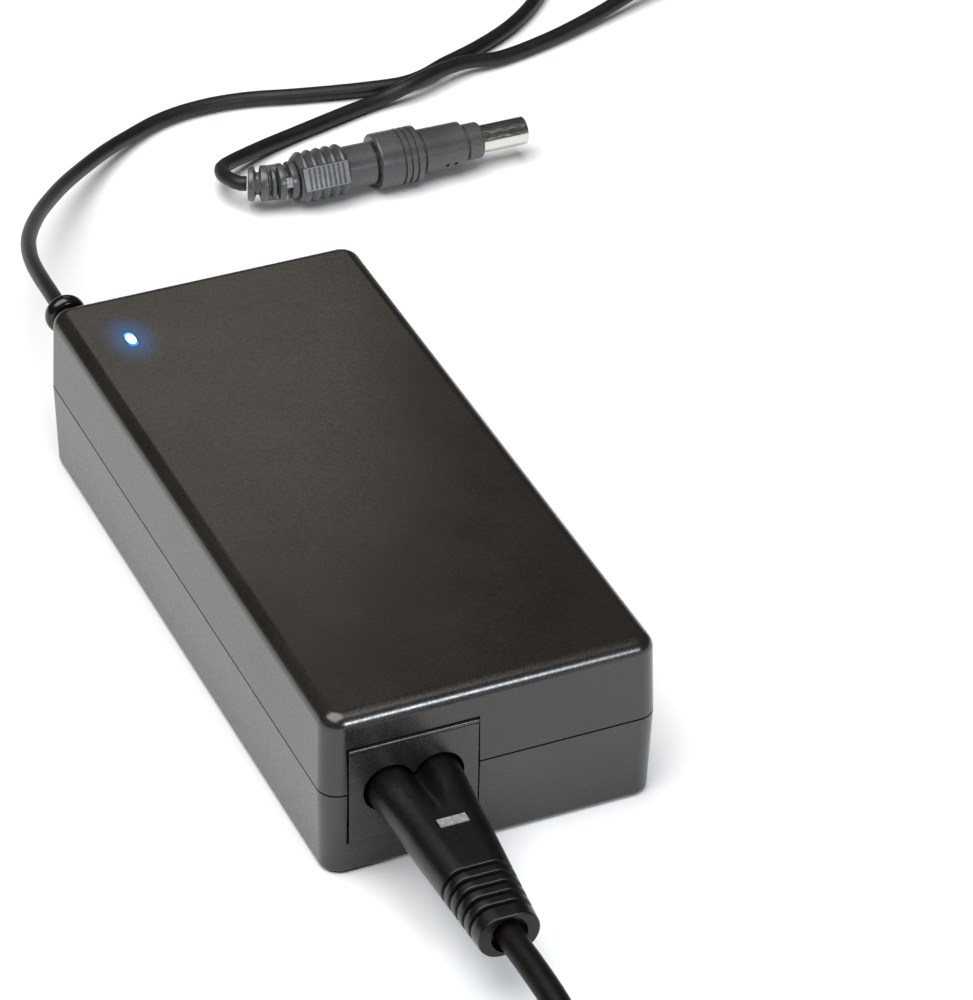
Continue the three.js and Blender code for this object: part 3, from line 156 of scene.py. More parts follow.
NECK_RADIUS = 4.2
PAD_HALF_HEIGHT = 2.4
PAD_SUNK = 0.3
PAD_FACE = GRIP_RADIUS - PAD_SUNK
PAD_LINES = {"count": 8, "rim": 0.75, "depth": 0.22, "ends": 0.35}
BARREL_RADIUS = 2.75
BARREL_WALL = 0.5
BARREL_END = NECK_END + 9.6
TIP_START = NECK_END + FIT
NOSE_START = TIP_START + 8.8
TIP_END_START = NOSE_START + 10.4
TIP_FRONT = TIP_END_START + 3.2
TIP_BARREL_END = TIP_FRONT + 9.6
TIP_GROOVES = {"count": 3, "pitch": 1.3, "width": 0.5, "depth": 0.4, "ring": 1.1}
NOSE_GROOVE = 0.9
TIP_DIMPLES = {"at": (NOSE_START + 5.3, NOSE_START + 7.1), "below": math.radians(22), "size": 0.45}
COLLAR_RADIUS = 5.55
NOSE_RADIUS = 4.45
TIP_END_RADIUS = 3.6
TIP_SOCKET = 6
TIP_ROUND = 0.5  # of its two ends
COLLAR_ROUND = 0.4  # of the collar's edge to the nose
NOSE_EDGE = 0.15
# The narrow gap between nose and end: mm from the end's start, and radius
TIP_GAP = [(-0.9, NOSE_RADIUS - 0.05), (-0.7, NOSE_RADIUS - 0.3), (-0.65, TIP_END_RADIUS - 0.4)]
TIP_GAP += [(0, TIP_END_RADIUS - 0.4), (0, TIP_END_RADIUS - 0.1), (0.1, TIP_END_RADIUS)]
TIP_GROOVE_SECTION = [(0, 0), (0.1, 0.4), (0.25, 1), (0.75, 1), (0.9, 0.4), (1, 0)]  # shares of width and depth

MAINS = 4.4
DC = 2.9
TURN_GAP = 0.55
COIL_LIFT = 0.8
TIE_THICKNESS = 0.5
TIE_ROUND = (1.6, 1.2)  # of its outside and of its inside
TIE_HEAD = {"sunk": 0.05, "thickness": 1.4, "wider": 0.6, "half_height": 1.6}
MAINS_TURNS = 6.25
MAINS_COIL = {"diameter": MAINS, "turns": MAINS_TURNS, "across": 50, "start": 180, "sense": 1, "y": -173}
MAINS_COIL["x"] = INLET_X + MAINS_COIL["across"] / 2 + (MAINS + TURN_GAP) * MAINS_TURNS / 4
DC_COIL = {"diameter": DC, "turns": 8 - (199.5 - 80) / 360, "across": 33, "start": 170, "sense": -1, "x": 154, "y": 203}
TIES = {"mains_coil_tie": (MAINS_COIL, 5, -20), "dc_coil_tie": (DC_COIL, 4, 20)}

WALL_RELIEF = {"length": 22, "radius": 3.3, "swell": 1.1, "flatness": 0.96}
# The relief's grooves: how many share its length, from where to where, how deep, and their shares of one pitch
WALL_GROOVES = {"count": 8, "from": 1, "to": 19.5, "depth": 0.75, "open": 0.52, "flank": 0.18}
WALL_PLUG_TAIL = INLET_X + 59
WALL_PLUG_BACK = WALL_PLUG_TAIL + WALL_RELIEF["length"]
WALL_PLUG_LENGTH = 30
WALL_PLUG_FACE = WALL_PLUG_BACK + WALL_PLUG_LENGTH
WALL_PLUG_HALF = (17.65, 6.85)
WALL_PLUG_NECK = (4.5, 4.3)
WALL_PLUG_EDGE = 0.8
# How the body grows from its neck: shares of the growth, and the share of its length where each is reached
WALL_PLUG_WIDENING = ((0.45, 0.2), (0.55, 0.66))
WALL_PLUG_THICKENING = 0.3
WALL_PLUG_POWERS = (2.3, 2.4, 4)  # squareness of its section: relief, neck and face
# The places of a pin's root, of its sleeve's end and of its tip are mm from the plug's face
WALL_PIN = {"spacing": 18.6, "radius": 2, "sleeve_radius": 1.9, "core": 1.5, "root": -6, "sleeve": 10, "length": 19}
ON_MAINS_CORD = [
    "mains_plug_moulding", "mains_plug_marking_pad", "mains_plug_sleeve_left", "mains_plug_sleeve_right",
    "mains_coil_tie_strap", "wall_plug_moulding", "wall_plug_pin_left_metal", "wall_plug_pin_left_sleeve",
    "wall_plug_pin_right_metal", "wall_plug_pin_right_sleeve",
]
ON_DC_CORD = [
    "dc_strain_relief_moulding", "dc_coil_tie_strap", "connector_relief_plates", "connector_grip_body",
    "connector_barrel", "connector_insulator", "connector_inner_sleeve", "connector_tip_moulding",
    "connector_tip_barrel", "tip_pin", "tip_insulator", "tip_inner_sleeve",
]

# ---------------------------------------------------------------- camera of the photograph
CAMERA_AZIMUTH = math.radians(-24.29)
CAMERA_ELEVATION = math.radians(35.23)
CAMERA_ROLL = math.radians(1.05)
CAMERA_PLACE = Vector((25.05, 19.58, 855.36))  # right, up and back in the camera's own axes, in mm
FOCAL_PIXELS = 4994.46
FRAME_PIXELS = 1000
SENSOR = 36
FLOOR_SIZE = 8
FLOOR_DROP = 0.0002  # metres under the case's base, so that the two faces aren't in one plane
# Each light's place, what it points at and its side, in metres, and its colour
LIGHTS = {
    "overhead_light": ((-0.38, -0.1, 1.25), (-0.15, -0.05, 0), 1.34, (1, 1, 1)),
    "front_light": ((0.12, -0.45, 0.2), (-0.02, -0.06, 0.02), 0.09, (0.84, 0.92, 1)),
    "back_light": ((0.08, 0.29, 0.22), (0, 0.02, 0.03), 0.1, (1, 0.92, 0.8)),
}


# ---------------------------------------------------------------- small modelling helpers
def mm(*values):
    return Vector(values) * MM


def leave_edit():
    if bpy.context.mode != "OBJECT":
        bpy.ops.object.mode_set(mode="OBJECT")


def select_none():
    leave_edit()
    bpy.ops.object.select_all(action="DESELECT")


def only(piece):
    select_none()
    piece.select_set(True)
    bpy.context.view_layer.objects.active = piece


def settle(piece):
    """Puts the piece's place, turn and size into its mesh."""
    only(piece)
    bpy.ops.object.transform_apply(location=True, rotation=True, scale=True)
    return piece


def named(name):
    piece = bpy.context.object
    piece.name = name
    piece.data.name = name
    return settle(piece)


def apply_modifier(piece, kind, **settings):
    only(piece)
    modifier = piece.modifiers.new(kind.title(), kind)
    for name, value in settings.items():
        setattr(modifier, name, value)
    bpy.ops.object.modifier_apply(modifier=modifier.name)


def join(piece, tool, operation="UNION"):
    """Joins a tool to a piece and throws the tool away."""
    apply_modifier(piece, "BOOLEAN", operation=operation, object=tool, solver="EXACT")
    bpy.data.objects.remove(tool)


def cut(piece, tool):
    join(piece, tool, "DIFFERENCE")


def choose(piece, kind, test):
    """Selects the vertices, edges or faces, in edit mode, whose corners all pass the test, given in mm."""
    only(piece)
    bpy.ops.object.mode_set(mode="EDIT")
    bpy.ops.mesh.select_mode(type=kind)
    bpy.ops.mesh.select_all(action="DESELECT")
    mesh = bmesh.from_edit_mesh(piece.data)
    for item in {"VERT": mesh.verts, "EDGE": mesh.edges, "FACE": mesh.faces}[kind]:
        corners = [item.co] if kind == "VERT" else [v.co for v in item.verts]
        item.select = bool(test([c / MM for c in corners]))
    mesh.select_flush_mode()
    bmesh.update_edit_mesh(piece.data)


def along_axis(axis, least):
    """A test for edges that run further than the least along an axis."""
    return lambda corners: abs(corners[0][axis] - corners[1][axis]) > least


def round_edges(piece, test, radius, segments):
    choose(piece, "EDGE", test)
    bpy.ops.mesh.bevel(offset=radius * MM, segments=segments, affect="EDGES", clamp_overlap=False)
    leave_edit()


def soften(piece, radius, segments=2, angle=35):
    limits = {"limit_method": "ANGLE", "angle_limit": math.radians(angle), "use_clamp_overlap": True}
    apply_modifier(piece, "BEVEL", width=radius * MM, segments=segments, **limits)


def smooth(piece, angle=32):
    only(piece)
    bpy.ops.object.shade_smooth_by_angle(angle=math.radians(angle))
    apply_modifier(piece, "WEIGHTED_NORMAL", keep_sharp=True, weight=80)


def outward(piece):
    """Merges doubles and turns all faces outwards."""
    choose(piece, "VERT", lambda corners: True)
    bpy.ops.mesh.remove_doubles(threshold=1e-6)
    bpy.ops.mesh.normals_make_consistent(inside=False)
    leave_edit()


def block(name, low, high):
    select_none()
    centre = [(a + b) / 2 * MM for a, b in zip(low, high)]
    size = [(b - a) * MM for a, b in zip(low, high)]
    bpy.ops.mesh.primitive_cube_add(size=1, location=centre, scale=size)
    return named(name)


def rod(name, radius, low, high, sides=48):
    """A cylinder between two points."""
    select_none()
    start, end = Vector(low), Vector(high)
    turn = (end - start).to_track_quat("Z", "Y").to_euler()
    size = {"radius": radius * MM, "depth": (end - start).length * MM}
    bpy.ops.mesh.primitive_cylinder_add(vertices=sides, location=(start + end) / 2 * MM, rotation=turn, **size)
    return named(name)


def y_rod(name, radius, x, z, low, high, sides=48):
    return rod(name, radius, (x, low, z), (x, high, z), sides)


def inlet_block(name, half_x, half_z, front, back):
    """A block centred on the inlet's axis."""
    return block(name, (INLET_X - half_x, front, INLET_Z - half_z), (INLET_X + half_x, back, INLET_Z + half_z))


def quarter_turn(steps):
    return [math.pi / 2 * i / steps for i in range(steps + 1)]


def rounded_edge(edge, steps):
    """Points of a quarter round, from its end face to its side: how far along, and how far it stands back."""
    return [(edge * (1 - math.cos(turn)), edge * (1 - math.sin(turn))) for turn in quarter_turn(steps)]


def turned(name, profile, sides=64):
    """A piece turned on the X axis: a point is extruded along the profile, then spun."""
    select_none()
    bpy.ops.mesh.primitive_plane_add(size=MM)
    piece = named(name)
    bpy.ops.object.mode_set(mode="EDIT")
    bpy.ops.mesh.select_mode(type="VERT")
    bpy.ops.mesh.select_all(action="SELECT")
    bpy.ops.mesh.merge(type="CENTER")
    last = Vector((0, 0, 0))
    for index, (along, radius) in enumerate(profile):
        place = mm(along, 0, radius)
        if index == 0:
            bpy.ops.transform.translate(value=place)
        else:
            bpy.ops.mesh.extrude_region_move(TRANSFORM_OT_translate={"value": place - last})
        last = place
    bpy.ops.mesh.select_all(action="SELECT")
    bpy.ops.mesh.spin(steps=sides, angle=2 * math.pi, center=(0, 0, 0), axis=(1, 0, 0), use_auto_merge=True)
    outward(piece)
    if not piece.data.polygons:
        raise RuntimeError(name + " came out empty")
    return piece


def lofted(name, rings):
    """A closed skin over rings of equally many points, for sections that no primitive has."""
    mesh = bpy.data.meshes.new(name)
    points = [Vector(p) * MM for ring in rings for p in ring]
    count = len(rings[0])
    faces = []
    for row in range(len(rings) - 1):
        for k in range(count):
            a, b = row * count + k, row * count + (k + 1) % count
            faces.append((a, b, b + count, a + count))
    faces.append(tuple(range(count))[::-1])
    faces.append(tuple(range((len(rings) - 1) * count, len(rings) * count)))
    mesh.from_pydata(points, [], faces)
    piece = bpy.data.objects.new(name, mesh)
    bpy.context.collection.objects.link(piece)
    outward(piece)
    return piece


def place_on_connector(piece, roll=0):
    """Rolls a piece that was made along X from the origin, and moves it onto the connector's axis."""
    piece.location = CONNECTOR * MM
    piece.rotation_euler = (roll, 0, 0)
    return settle(piece)


def smoothstep(value, low, high):
    t = min(max((value - low) / (high - low), 0), 1)
    return t * t * (3 - 2 * t)


def clad(piece, material):
    piece.data.materials.clear()
    piece.data.materials.append(material)


def dress(material, *names):
    """Gives carried-over CAD nodes their finish."""
    for name in names:
        clad(bpy.data.objects[name], material)


def belongs(piece, body, nodes, material):
    clad(piece, material)
    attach(piece, body)
    if nodes:
        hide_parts(*nodes)
    return piece


# ---------------------------------------------------------------- materials
def linear(hex_colour):
    """An sRGB hex colour as linear values."""
    channels = [int(hex_colour.lstrip("#")[i : i + 2], 16) / 255 for i in (0, 2, 4)]
    return [c / 12.92 if c <= 0.04045 else ((c + 0.055) / 1.055) ** 2.4 for c in channels] + [1]


def add_node(tree, kind, settings=None, values=None, links=None):
    node = tree.nodes.new(kind)
    for name, value in (settings or {}).items():
        setattr(node, name, value)
    for socket, value in (values or {}).items():
        node.inputs[socket].default_value = value
    for socket, source in (links or {}).items():
        tree.links.new(source, node.inputs[socket])
    return node


def new_material(name, **values):
    """A material with its shader, ready for its pattern."""
    material = bpy.data.materials.new(name)
    material.use_nodes = True
    tree = material.node_tree
    shader = tree.nodes["Principled BSDF"]
    for socket, value in values.items():
        shader.inputs[socket.replace("_", " ")].default_value = value
    place = add_node(tree, "ShaderNodeTexCoord").outputs["Object"]
    return material, tree, shader, place


def link_up(tree, shader, **sources):
    for socket, source in sources.items():
        tree.links.new(source, shader.inputs[socket.replace("_", " ")])


def grain(tree, place, size, detail=2):
    """Noise whose bumps are about size mm across."""
    values = {"Scale": 1 / (size * MM), "Detail": detail, "Roughness": 0.55}
    return add_node(tree, "ShaderNodeTexNoise", values=values, links={"Vector": place}).outputs["Fac"]


def spread(tree, source, low, high, start=0.35, end=0.65, shape="LINEAR"):
    """Maps a range of a pattern, by default its middle, to values from low to high."""
    values = {"From Min": start, "From Max": end, "To Min": low, "To Max": high}
    kind = {"interpolation_type": shape}
    return add_node(tree, "ShaderNodeMapRange", kind, values, {"Value": source}).outputs["Result"]


def blend_colours(tree, fac, low, high):
    values = {6: linear(low), 7: linear(high)}
    return add_node(tree, "ShaderNodeMix", {"data_type": "RGBA"}, values, {0: fac}).outputs[2]


def bump(tree, height, depth, normal=None):
    links = {"Height": height, "Normal": normal} if normal else {"Height": height}
    return add_node(tree, "ShaderNodeBump", values={"Distance": depth * MM}, links=links).outputs["Normal"]


def vector_step(tree, operation, source, value=(0, 0, 0)):
    node = add_node(tree, "ShaderNodeVectorMath", {"operation": operation}, {1: value}, {0: source})
    return node.outputs["Value" if operation == "LENGTH" else "Vector"]


def number_step(tree, operation, source, value):
    return add_node(tree, "ShaderNodeMath", {"operation": operation}, {1: value}, {0: source}).outputs[0]


def from_lamp(tree, place, height, shares):
    """How far a point is from the lamp, with its offset scaled along each axis."""
    offset = vector_step(tree, "SUBTRACT", place, mm(*LAMP, height))
    return vector_step(tree, "LENGTH", vector_step(tree, "MULTIPLY", offset, shares))


def drawn_out(tree, place, shares):
    """Stretches a pattern along the axes whose share is small."""
    return add_node(tree, "ShaderNodeMapping", values={"Scale": shares}, links={"Vector": place}).outputs["Vector"]


def clouded(name, colours, rough, slow, fine, depth, slow_depth=0, **values):
    """Colour from a slow pattern, roughness and bumps from a fine one; each is a size in mm and a detail."""
    material, tree, shader, place = new_material(name, **values)
    wave, grains = grain(tree, place, *slow), grain(tree, place, *fine)
    normal = bump(tree, grains, depth, bump(tree, wave, slow_depth) if slow_depth else None)
    colour = blend_colours(tree, spread(tree, wave, 0, 1), *colours)
    link_up(tree, shader, Base_Color=colour, Roughness=spread(tree, grains, *rough), Normal=normal)
    return material


def moulded_abs(name, colours, texture=0.4, depth=0.006, rough=(0.21, 0.3)):
    """ABS from a spark-eroded mould: a fine even grain that breaks highlights into sparkle, and a faint
    cloudiness where the melt flowed."""
    return clouded(name, colours, rough, (14, 3), (texture, 2), depth, IOR=1.6)


def flexible_pvc(name, colours, rough, ripple=2.2, depth=0.03, sheen=0.5):
    """Extruded or moulded flexible PVC: satin, with slow waves and a faint bloom of plasticiser."""
    return clouded(name, colours, rough, (ripple, 2), (0.35, 2), 0.006, depth, IOR=1.52, Specular_IOR_Level=sheen)


def speckled(name, colours, size, rough, depth=0.02):
    """Sintered or moulded filled material: ferrite, epoxy, ceramic and fibre board, told apart by speckle."""
    return clouded(name, colours, rough, (size, 3), (size, 3), depth, IOR=1.55)


def paint_lamp_glow(material, colour, radius, strength):
    """Painted glow: blue emission in the case's own plastic round the lamp's window, gone within a few mm, standing in
    for the lamp's light spilling round it.
    """
    tree = material.node_tree
    shader = tree.nodes["Principled BSDF"]
    place = next(n for n in tree.nodes if n.type == "TEX_COORD").outputs["Object"]
    away = from_lamp(tree, place, HEIGHT, LAMP_GLOW_SHARES)
    fade = spread(tree, away, 1, 0, 0, radius * MM, "SMOOTHERSTEP")
    level = number_step(tree, "MULTIPLY", number_step(tree, "POWER", fade, LAMP_GLOW_FALL), strength)
    shader.inputs["Emission Color"].default_value = linear(colour)
    link_up(tree, shader, Emission_Strength=level)


def lit_window(name, rim, core, strength):
    """The clear end of a light pipe over a blue lamp: white-hot in the middle, blue at its rim."""
    material, tree, shader, place = new_material(name, Roughness=0.25, IOR=1.49, Base_Color=linear(rim))
    away = from_lamp(tree, place, 0, LAMP_CORE_SHARES)
    start, end = (distance * MM for distance in LAMP_CORE)
    hot = spread(tree, away, 1, 0, start, end, "SMOOTHSTEP")
    level = spread(tree, hot, LAMP_RIM_LEVEL, strength, 0, 1)
    link_up(tree, shader, Emission_Color=blend_colours(tree, hot, rim, core), Emission_Strength=level)
    return material


def plated(name, colour, rough):
    """Nickel or brass contact metal: bright, with fine lines from drawing."""
    material, tree, shader, place = new_material(name, Metallic=1, Base_Color=linear(colour))
    lines = grain(tree, drawn_out(tree, place, (0.15, 1, 1)), 0.2, 1)
    link_up(tree, shader, Roughness=spread(tree, lines, *rough))
    return material


def sheet_aluminium(name):
    """Rolled sheet aluminium: pale grey, its rolling lines along the case."""
    material, tree, shader, place = new_material(name, Metallic=1)
    lines = grain(tree, drawn_out(tree, place, (1, 0.04, 1)), 0.3)
    colour = blend_colours(tree, lines, "#b4b6b8", "#c9cbcc")
    link_up(tree, shader, Base_Color=colour, Roughness=spread(tree, lines, 0.32, 0.48))
    return material


def wound_wire(name, colours, pitch):
    """Enamelled copper wire laid side by side: bands one wire wide."""
    material, tree, shader, place = new_material(name, Metallic=0.6, Roughness=0.3)
    values = {"Scale": math.pi / (10 * pitch * MM), "Distortion": 0.4}
    kind = {"bands_direction": "Y"}
    bands = add_node(tree, "ShaderNodeTexWave", kind, values, {"Vector": place}).outputs["Fac"]
    link_up(tree, shader, Base_Color=blend_colours(tree, bands, *colours), Normal=bump(tree, bands, 0.2))
    return material


# ---------------------------------------------------------------- routes
def catmull_rom(points, step):
    """Points at about a step apart on the centripetal curve through the given ones, in mm."""
    ends = [2 * points[0] - points[1], *points, 2 * points[-1] - points[-2]]
    made = []
    for p0, p1, p2, p3 in zip(ends, ends[1:], ends[2:], ends[3:]):
        knots = [0.0]
        for a, b in ((p0, p1), (p1, p2), (p2, p3)):
            knots.append(knots[-1] + max((b - a).length, 1e-4) ** 0.5)
        count = max(1, round((p2 - p1).length / step))
        for i in range(count):
            t = knots[1] + (knots[2] - knots[1]) * i / count
            layer = [p0, p1, p2, p3]
            for first, span in ((0, 1), (0, 2), (1, 1)):
                spans = list(zip(knots[first:], knots[first + span :]))
                layer = [a.lerp(b, (t - low) / (high - low)) for a, b, (low, high) in zip(layer, layer[1:], spans)]
            made.append(layer[0])
    made.append(points[-1].copy())
    return made


def coil_points(coil, steps_per_turn=36):
    """Two layers: in on the floor, up where the spiral reverses, out on top, with straight ends."""
    pitch = coil["diameter"] + TURN_GAP
    inner = coil["across"] / 2 - pitch * coil["turns"] / 4
    low = COIL_LIFT + coil["diameter"] / 2
    start = math.radians(coil["start"])
    middle = math.pi * coil["turns"]
    count = round(coil["turns"] * steps_per_turn)
    points = []
    for i in range(count + 1):
        swept = 2 * math.pi * coil["turns"] * i / count
        radius = inner + pitch * abs(swept - middle) / (2 * math.pi)
        climb = min(max((swept - middle) / math.pi + 0.5, 0), 1)
        angle = start + coil["sense"] * swept
        x, y = coil["x"] + radius * math.cos(angle), coil["y"] + radius * math.sin(angle)
        points.append(Vector((x, y, low + pitch * climb * climb * (3 - 2 * climb))))
    for at, angle, way in ((0, start, -1), (-1, start + coil["sense"] * 2 * middle, 1)):
        along = Vector((-math.sin(angle), math.cos(angle), 0)) * coil["sense"] * way
        end = points[at] + along * coil["diameter"]
        if at == 0:
            points.insert(0, end)
        else:
            points.append(end)
    return points


def cord_curve(name, points, diameter):
    """One open curve with a round section."""
    curve = bpy.data.curves.new(name, "CURVE")
    curve.dimensions = "3D"
    curve.bevel_depth = diameter / 2 * MM
    curve.bevel_resolution = 5
    curve.use_fill_caps = True
    spline = curve.splines.new("POLY")
    spline.points.add(len(points) - 1)
    for slot, point in zip(spline.points, points):
        slot.co = (*(point * MM), 1)
    spline.use_smooth = True
    piece = bpy.data.objects.new(name, curve)
    bpy.context.collection.objects.link(piece)
    return piece


def straight_on(points, at_start, distance):
    end, before = (points[0], points[1]) if at_start else (points[-1], points[-2])
    return end + (end - before).normalized() * distance


def mains_route():
    coil = coil_points(MAINS_COIL)
    start = PLUG_END + PLUG_MOUTH - FIT
    out = [
        (PLUG_END_X, start, PLUG_END_Z), (PLUG_END_X, start - MAINS, PLUG_END_Z), (-14.3, -112, 13.9),
        (-13.9, -120, 13), (-13.8, -128, 11.1), (-13.9, -137, 8.3), (INLET_X, -146, 5.6), (INLET_X, -155, 3.9),
    ]
    hand = [Vector(p) for p in out] + [straight_on(coil, True, MAINS)]
    last = coil[-1]
    plug_z = WALL_PLUG_HALF[1]
    end = [
        straight_on(coil, False, MAINS),
        Vector((WALL_PLUG_TAIL - 2 * MAINS, last.y, plug_z + 0.3)),
        Vector((WALL_PLUG_TAIL - MAINS, last.y, plug_z)),
        Vector((WALL_PLUG_TAIL - FIT, last.y, plug_z)),
    ]
    return catmull_rom([*hand, coil[0]], 2) + coil[1:-1] + catmull_rom([coil[-1], *end], 2)


def dc_route():
    coil = coil_points(DC_COIL)
    x, z = DC_EXIT
    start = HALF_LENGTH + DC_GROOVE + DC_COLLAR[1] + FIT
    out = [
        (x, start, z), (x, start + DC, z - 0.2), (-24.1, 78, 25.5), (-23.4, 84.5, 24.1), (-21.8, 94.1, 21.7),
        (-19, 104.1, 18.8), (-15.8, 112.1, 16.2), (-11, 121.7, 13), (-6, 130, 10.2), (-0.3, 138.2, 7.6),
        (6.4, 146.2, 5.2), (13.6, 153.3, 3.4), (20.6, 158.8, 2.1), (27.2, 162.6, 1.6), (33.2, 164.4, 1.5),
        (40.8, 165, 1.5), (48, 164.2, 1.5), (55.7, 162.2, 1.5), (63.6, 160.4, 1.5), (71.6, 158.9, 1.5),
        (78.6, 158.2, 1.5), (83.5, 159.4, 1.5), (88.7, 161.9, 1.5), (98, 165.7, 1.5), (107.5, 171, 1.5),
        (116, 178.2, 1.5), (123, 187.2, 1.7), (128, 196, 2),
    ]
    back = [
        (148, 176.2, 4.9), (136, 171.8, 3.2), (124, 167.2, 2), (112, 163, 1.5), (100, 160, 1.6),
        (92.5, 159.4, 2.6), (85.1, 156.9, 3.3), (80.9, 155.2, 3.4), (77, 154.2, 2.9), (73.5, 154, 2),
        (69.4, 153.4, 1.5), (64.5, 152.1, 1.5), (57.2, 150, 1.5), (50.1, 147.9, 1.5), (44.1, 145.6, 1.9),
        (38.4, 142.7, 2.6), (34.2, 140, 3.4), (31.8, 137.7, 4.1), (30.8, 134.8, 4.7), (30.9, 132, 5.2),
    ]
    radius = RELIEF_LENGTH / RELIEF_BEND
    bent = Vector((RELIEF_LENGTH - radius * math.sin(RELIEF_BEND), radius * (1 - math.cos(RELIEF_BEND)), 0))
    relief_end = CONNECTOR + bent
    into = Vector((-math.cos(RELIEF_BEND), math.sin(RELIEF_BEND), 0))
    outgoing = [Vector(p) for p in out] + [straight_on(coil, True, DC), coil[0]]
    returning = [coil[-1], straight_on(coil, False, DC), *[Vector(p) for p in back]]
    returning += [relief_end + into * DC / 2, relief_end + into * FIT]
    return catmull_rom(outgoing, 1.6) + coil[1:-1] + catmull_rom(returning, 1.6)


# ---------------------------------------------------------------- settings a user would change
def tone(name, description, default):
    return bpy.props.StringProperty(name=name, description=description, default=default)


def amount(name, description, default, high, unit="NONE"):
    words = {"name": name, "description": description}
    return bpy.props.FloatProperty(**words, default=default, min=0, max=high, unit=unit)


class AdapterLook(bpy.types.PropertyGroup):
    case_dark: tone("Case, dark", "Darker tone of the case", "#191612")
    case_light: tone("Case, light", "Lighter tone of the case", "#201c19")
    cord_dark: tone("Cord, dark", "Darker tone of the mains cord", "#0b0a09")
    cord_light: tone("Cord, light", "Lighter tone of the mains cord", "#12100e")
    lamp_colour: tone("Lamp", "Colour of the lamp's light", "#0c90e6")
    lamp_reach: amount("Glow reach", "How far the lamp's glow shows in the case, in mm", 7.5, 20)
    lamp_strength: amount("Glow strength", "Brightness of the glow beside the window", 0.22, 10)


class AdapterStudio(bpy.types.PropertyGroup):
    floor_colour: tone("Floor", "Colour of the floor", "#f4f4f4")
    overhead_power: amount("Overhead light", "Power of the large overhead light", 28.6, 500, "POWER")
    front_power: amount("Front light", "Power of the small front light", 1.05, 500, "POWER")
    back_power: amount("Back light", "Power of the low soft light behind the set", 0.029, 500, "POWER")
    room_level: amount("Room", "Brightness of the room round the set", 0.05, 5)


# ---------------------------------------------------------------- stage
class ADAPTER_OT_stage(bpy.types.Operator):
    """Add the floor, the lights and the camera of the photograph"""

    bl_idname = "adapter.stage"
    bl_label = "Stage"

    def execute(self, context):
        studio = context.scene.adapter_studio
        level, rise = math.cos(CAMERA_ELEVATION), math.sin(CAMERA_ELEVATION)
        back = Vector((math.sin(CAMERA_AZIMUTH) * level, -math.cos(CAMERA_AZIMUTH) * level, rise))
        right = UP.cross(back).normalized()
        up = back.cross(right)
        c, s = math.cos(CAMERA_ROLL), math.sin(CAMERA_ROLL)
        axes = Matrix((c * right + s * up, -s * right + c * up, back)).transposed()
        select_none()
        bpy.ops.object.camera_add()
        camera = context.object
        camera.name = "photo_camera"
        camera.matrix_world = Matrix.Translation(axes @ CAMERA_PLACE * MM) @ axes.to_4x4()
        camera.data.sensor_width = SENSOR
        camera.data.lens = FOCAL_PIXELS * SENSOR / FRAME_PIXELS
        camera.data.clip_start = 0.05
        camera.data.clip_end = 20
        context.scene.camera = camera
        select_none()
        bpy.ops.mesh.primitive_plane_add(size=FLOOR_SIZE, location=(0, 0, -FLOOR_DROP))
        floor = named("studio_floor")
        # A paper sweep: matt, all but even, with a very slow variation.
        material, tree, shader, place = new_material("paper_sweep_matt", Roughness=0.9)
        slow = grain(tree, place, 400)
        link_up(tree, shader, Base_Color=blend_colours(tree, slow, studio.floor_colour, "#fafafa"))
        floor.data.materials.append(material)
        for name, (at, target, size, colour) in LIGHTS.items():
            select_none()
            bpy.ops.object.light_add(type="AREA", location=at)
            light = context.object
            light.name = name
            light.data.size = size
            light.data.energy = getattr(studio, name.replace("light", "power"))
            light.data.color = colour
            light.rotation_euler = (Vector(at) - Vector(target)).to_track_quat("Z", "Y").to_euler()
        world = bpy.data.worlds.new("studio_room")
        world.use_nodes = True
        room = world.node_tree.nodes["Background"].inputs
        room["Color"].default_value = (1, 1, 1, 1)
        room["Strength"].default_value = studio.room_level
        context.scene.world = world
        context.scene.view_settings.view_transform = "Standard"
        return {"FINISHED"}


# ---------------------------------------------------------------- cords, coils and ties
def strap(coil, width, angle):
    """A flat strap round both layers of a coil."""
    pitch = coil["diameter"] + TURN_GAP
    reach = pitch * coil["turns"] / 4 + coil["diameter"] / 2
    outer = coil["across"] / 2 + reach + FIT
    inner = math.sqrt((coil["across"] / 2 - reach) ** 2 - (width / 2) ** 2) - FIT
    top = COIL_LIFT + coil["diameter"] + pitch + FIT
    t = TIE_THICKNESS
    piece = block("strap", (inner - t, -width / 2, 0), (outer + t, width / 2, top + t))
    round_edges(piece, along_axis(1, width / 2), TIE_ROUND[0], 6)
    hole = block("strap_hole", (inner, -width, t), (outer, width, top))
    round_edges(hole, along_axis(1, width / 2), TIE_ROUND[1], 6)
    cut(piece, hole)
    half_wide, half_high = width / 2 + TIE_HEAD["wider"], TIE_HEAD["half_height"]
    low = (outer + t - TIE_HEAD["sunk"], -half_wide, top / 2 - half_high)
    head = block("strap_head", low, (outer + t + TIE_HEAD["thickness"], half_wide, top / 2 + half_high))
    soften(head, 0.3)
    join(piece, head)
    soften(piece, 0.1, 1, 50)
    piece.location = mm(coil["x"], coil["y"], 0)
    piece.rotation_euler = (0, 0, math.radians(angle))
    smooth(settle(piece))
    return piece


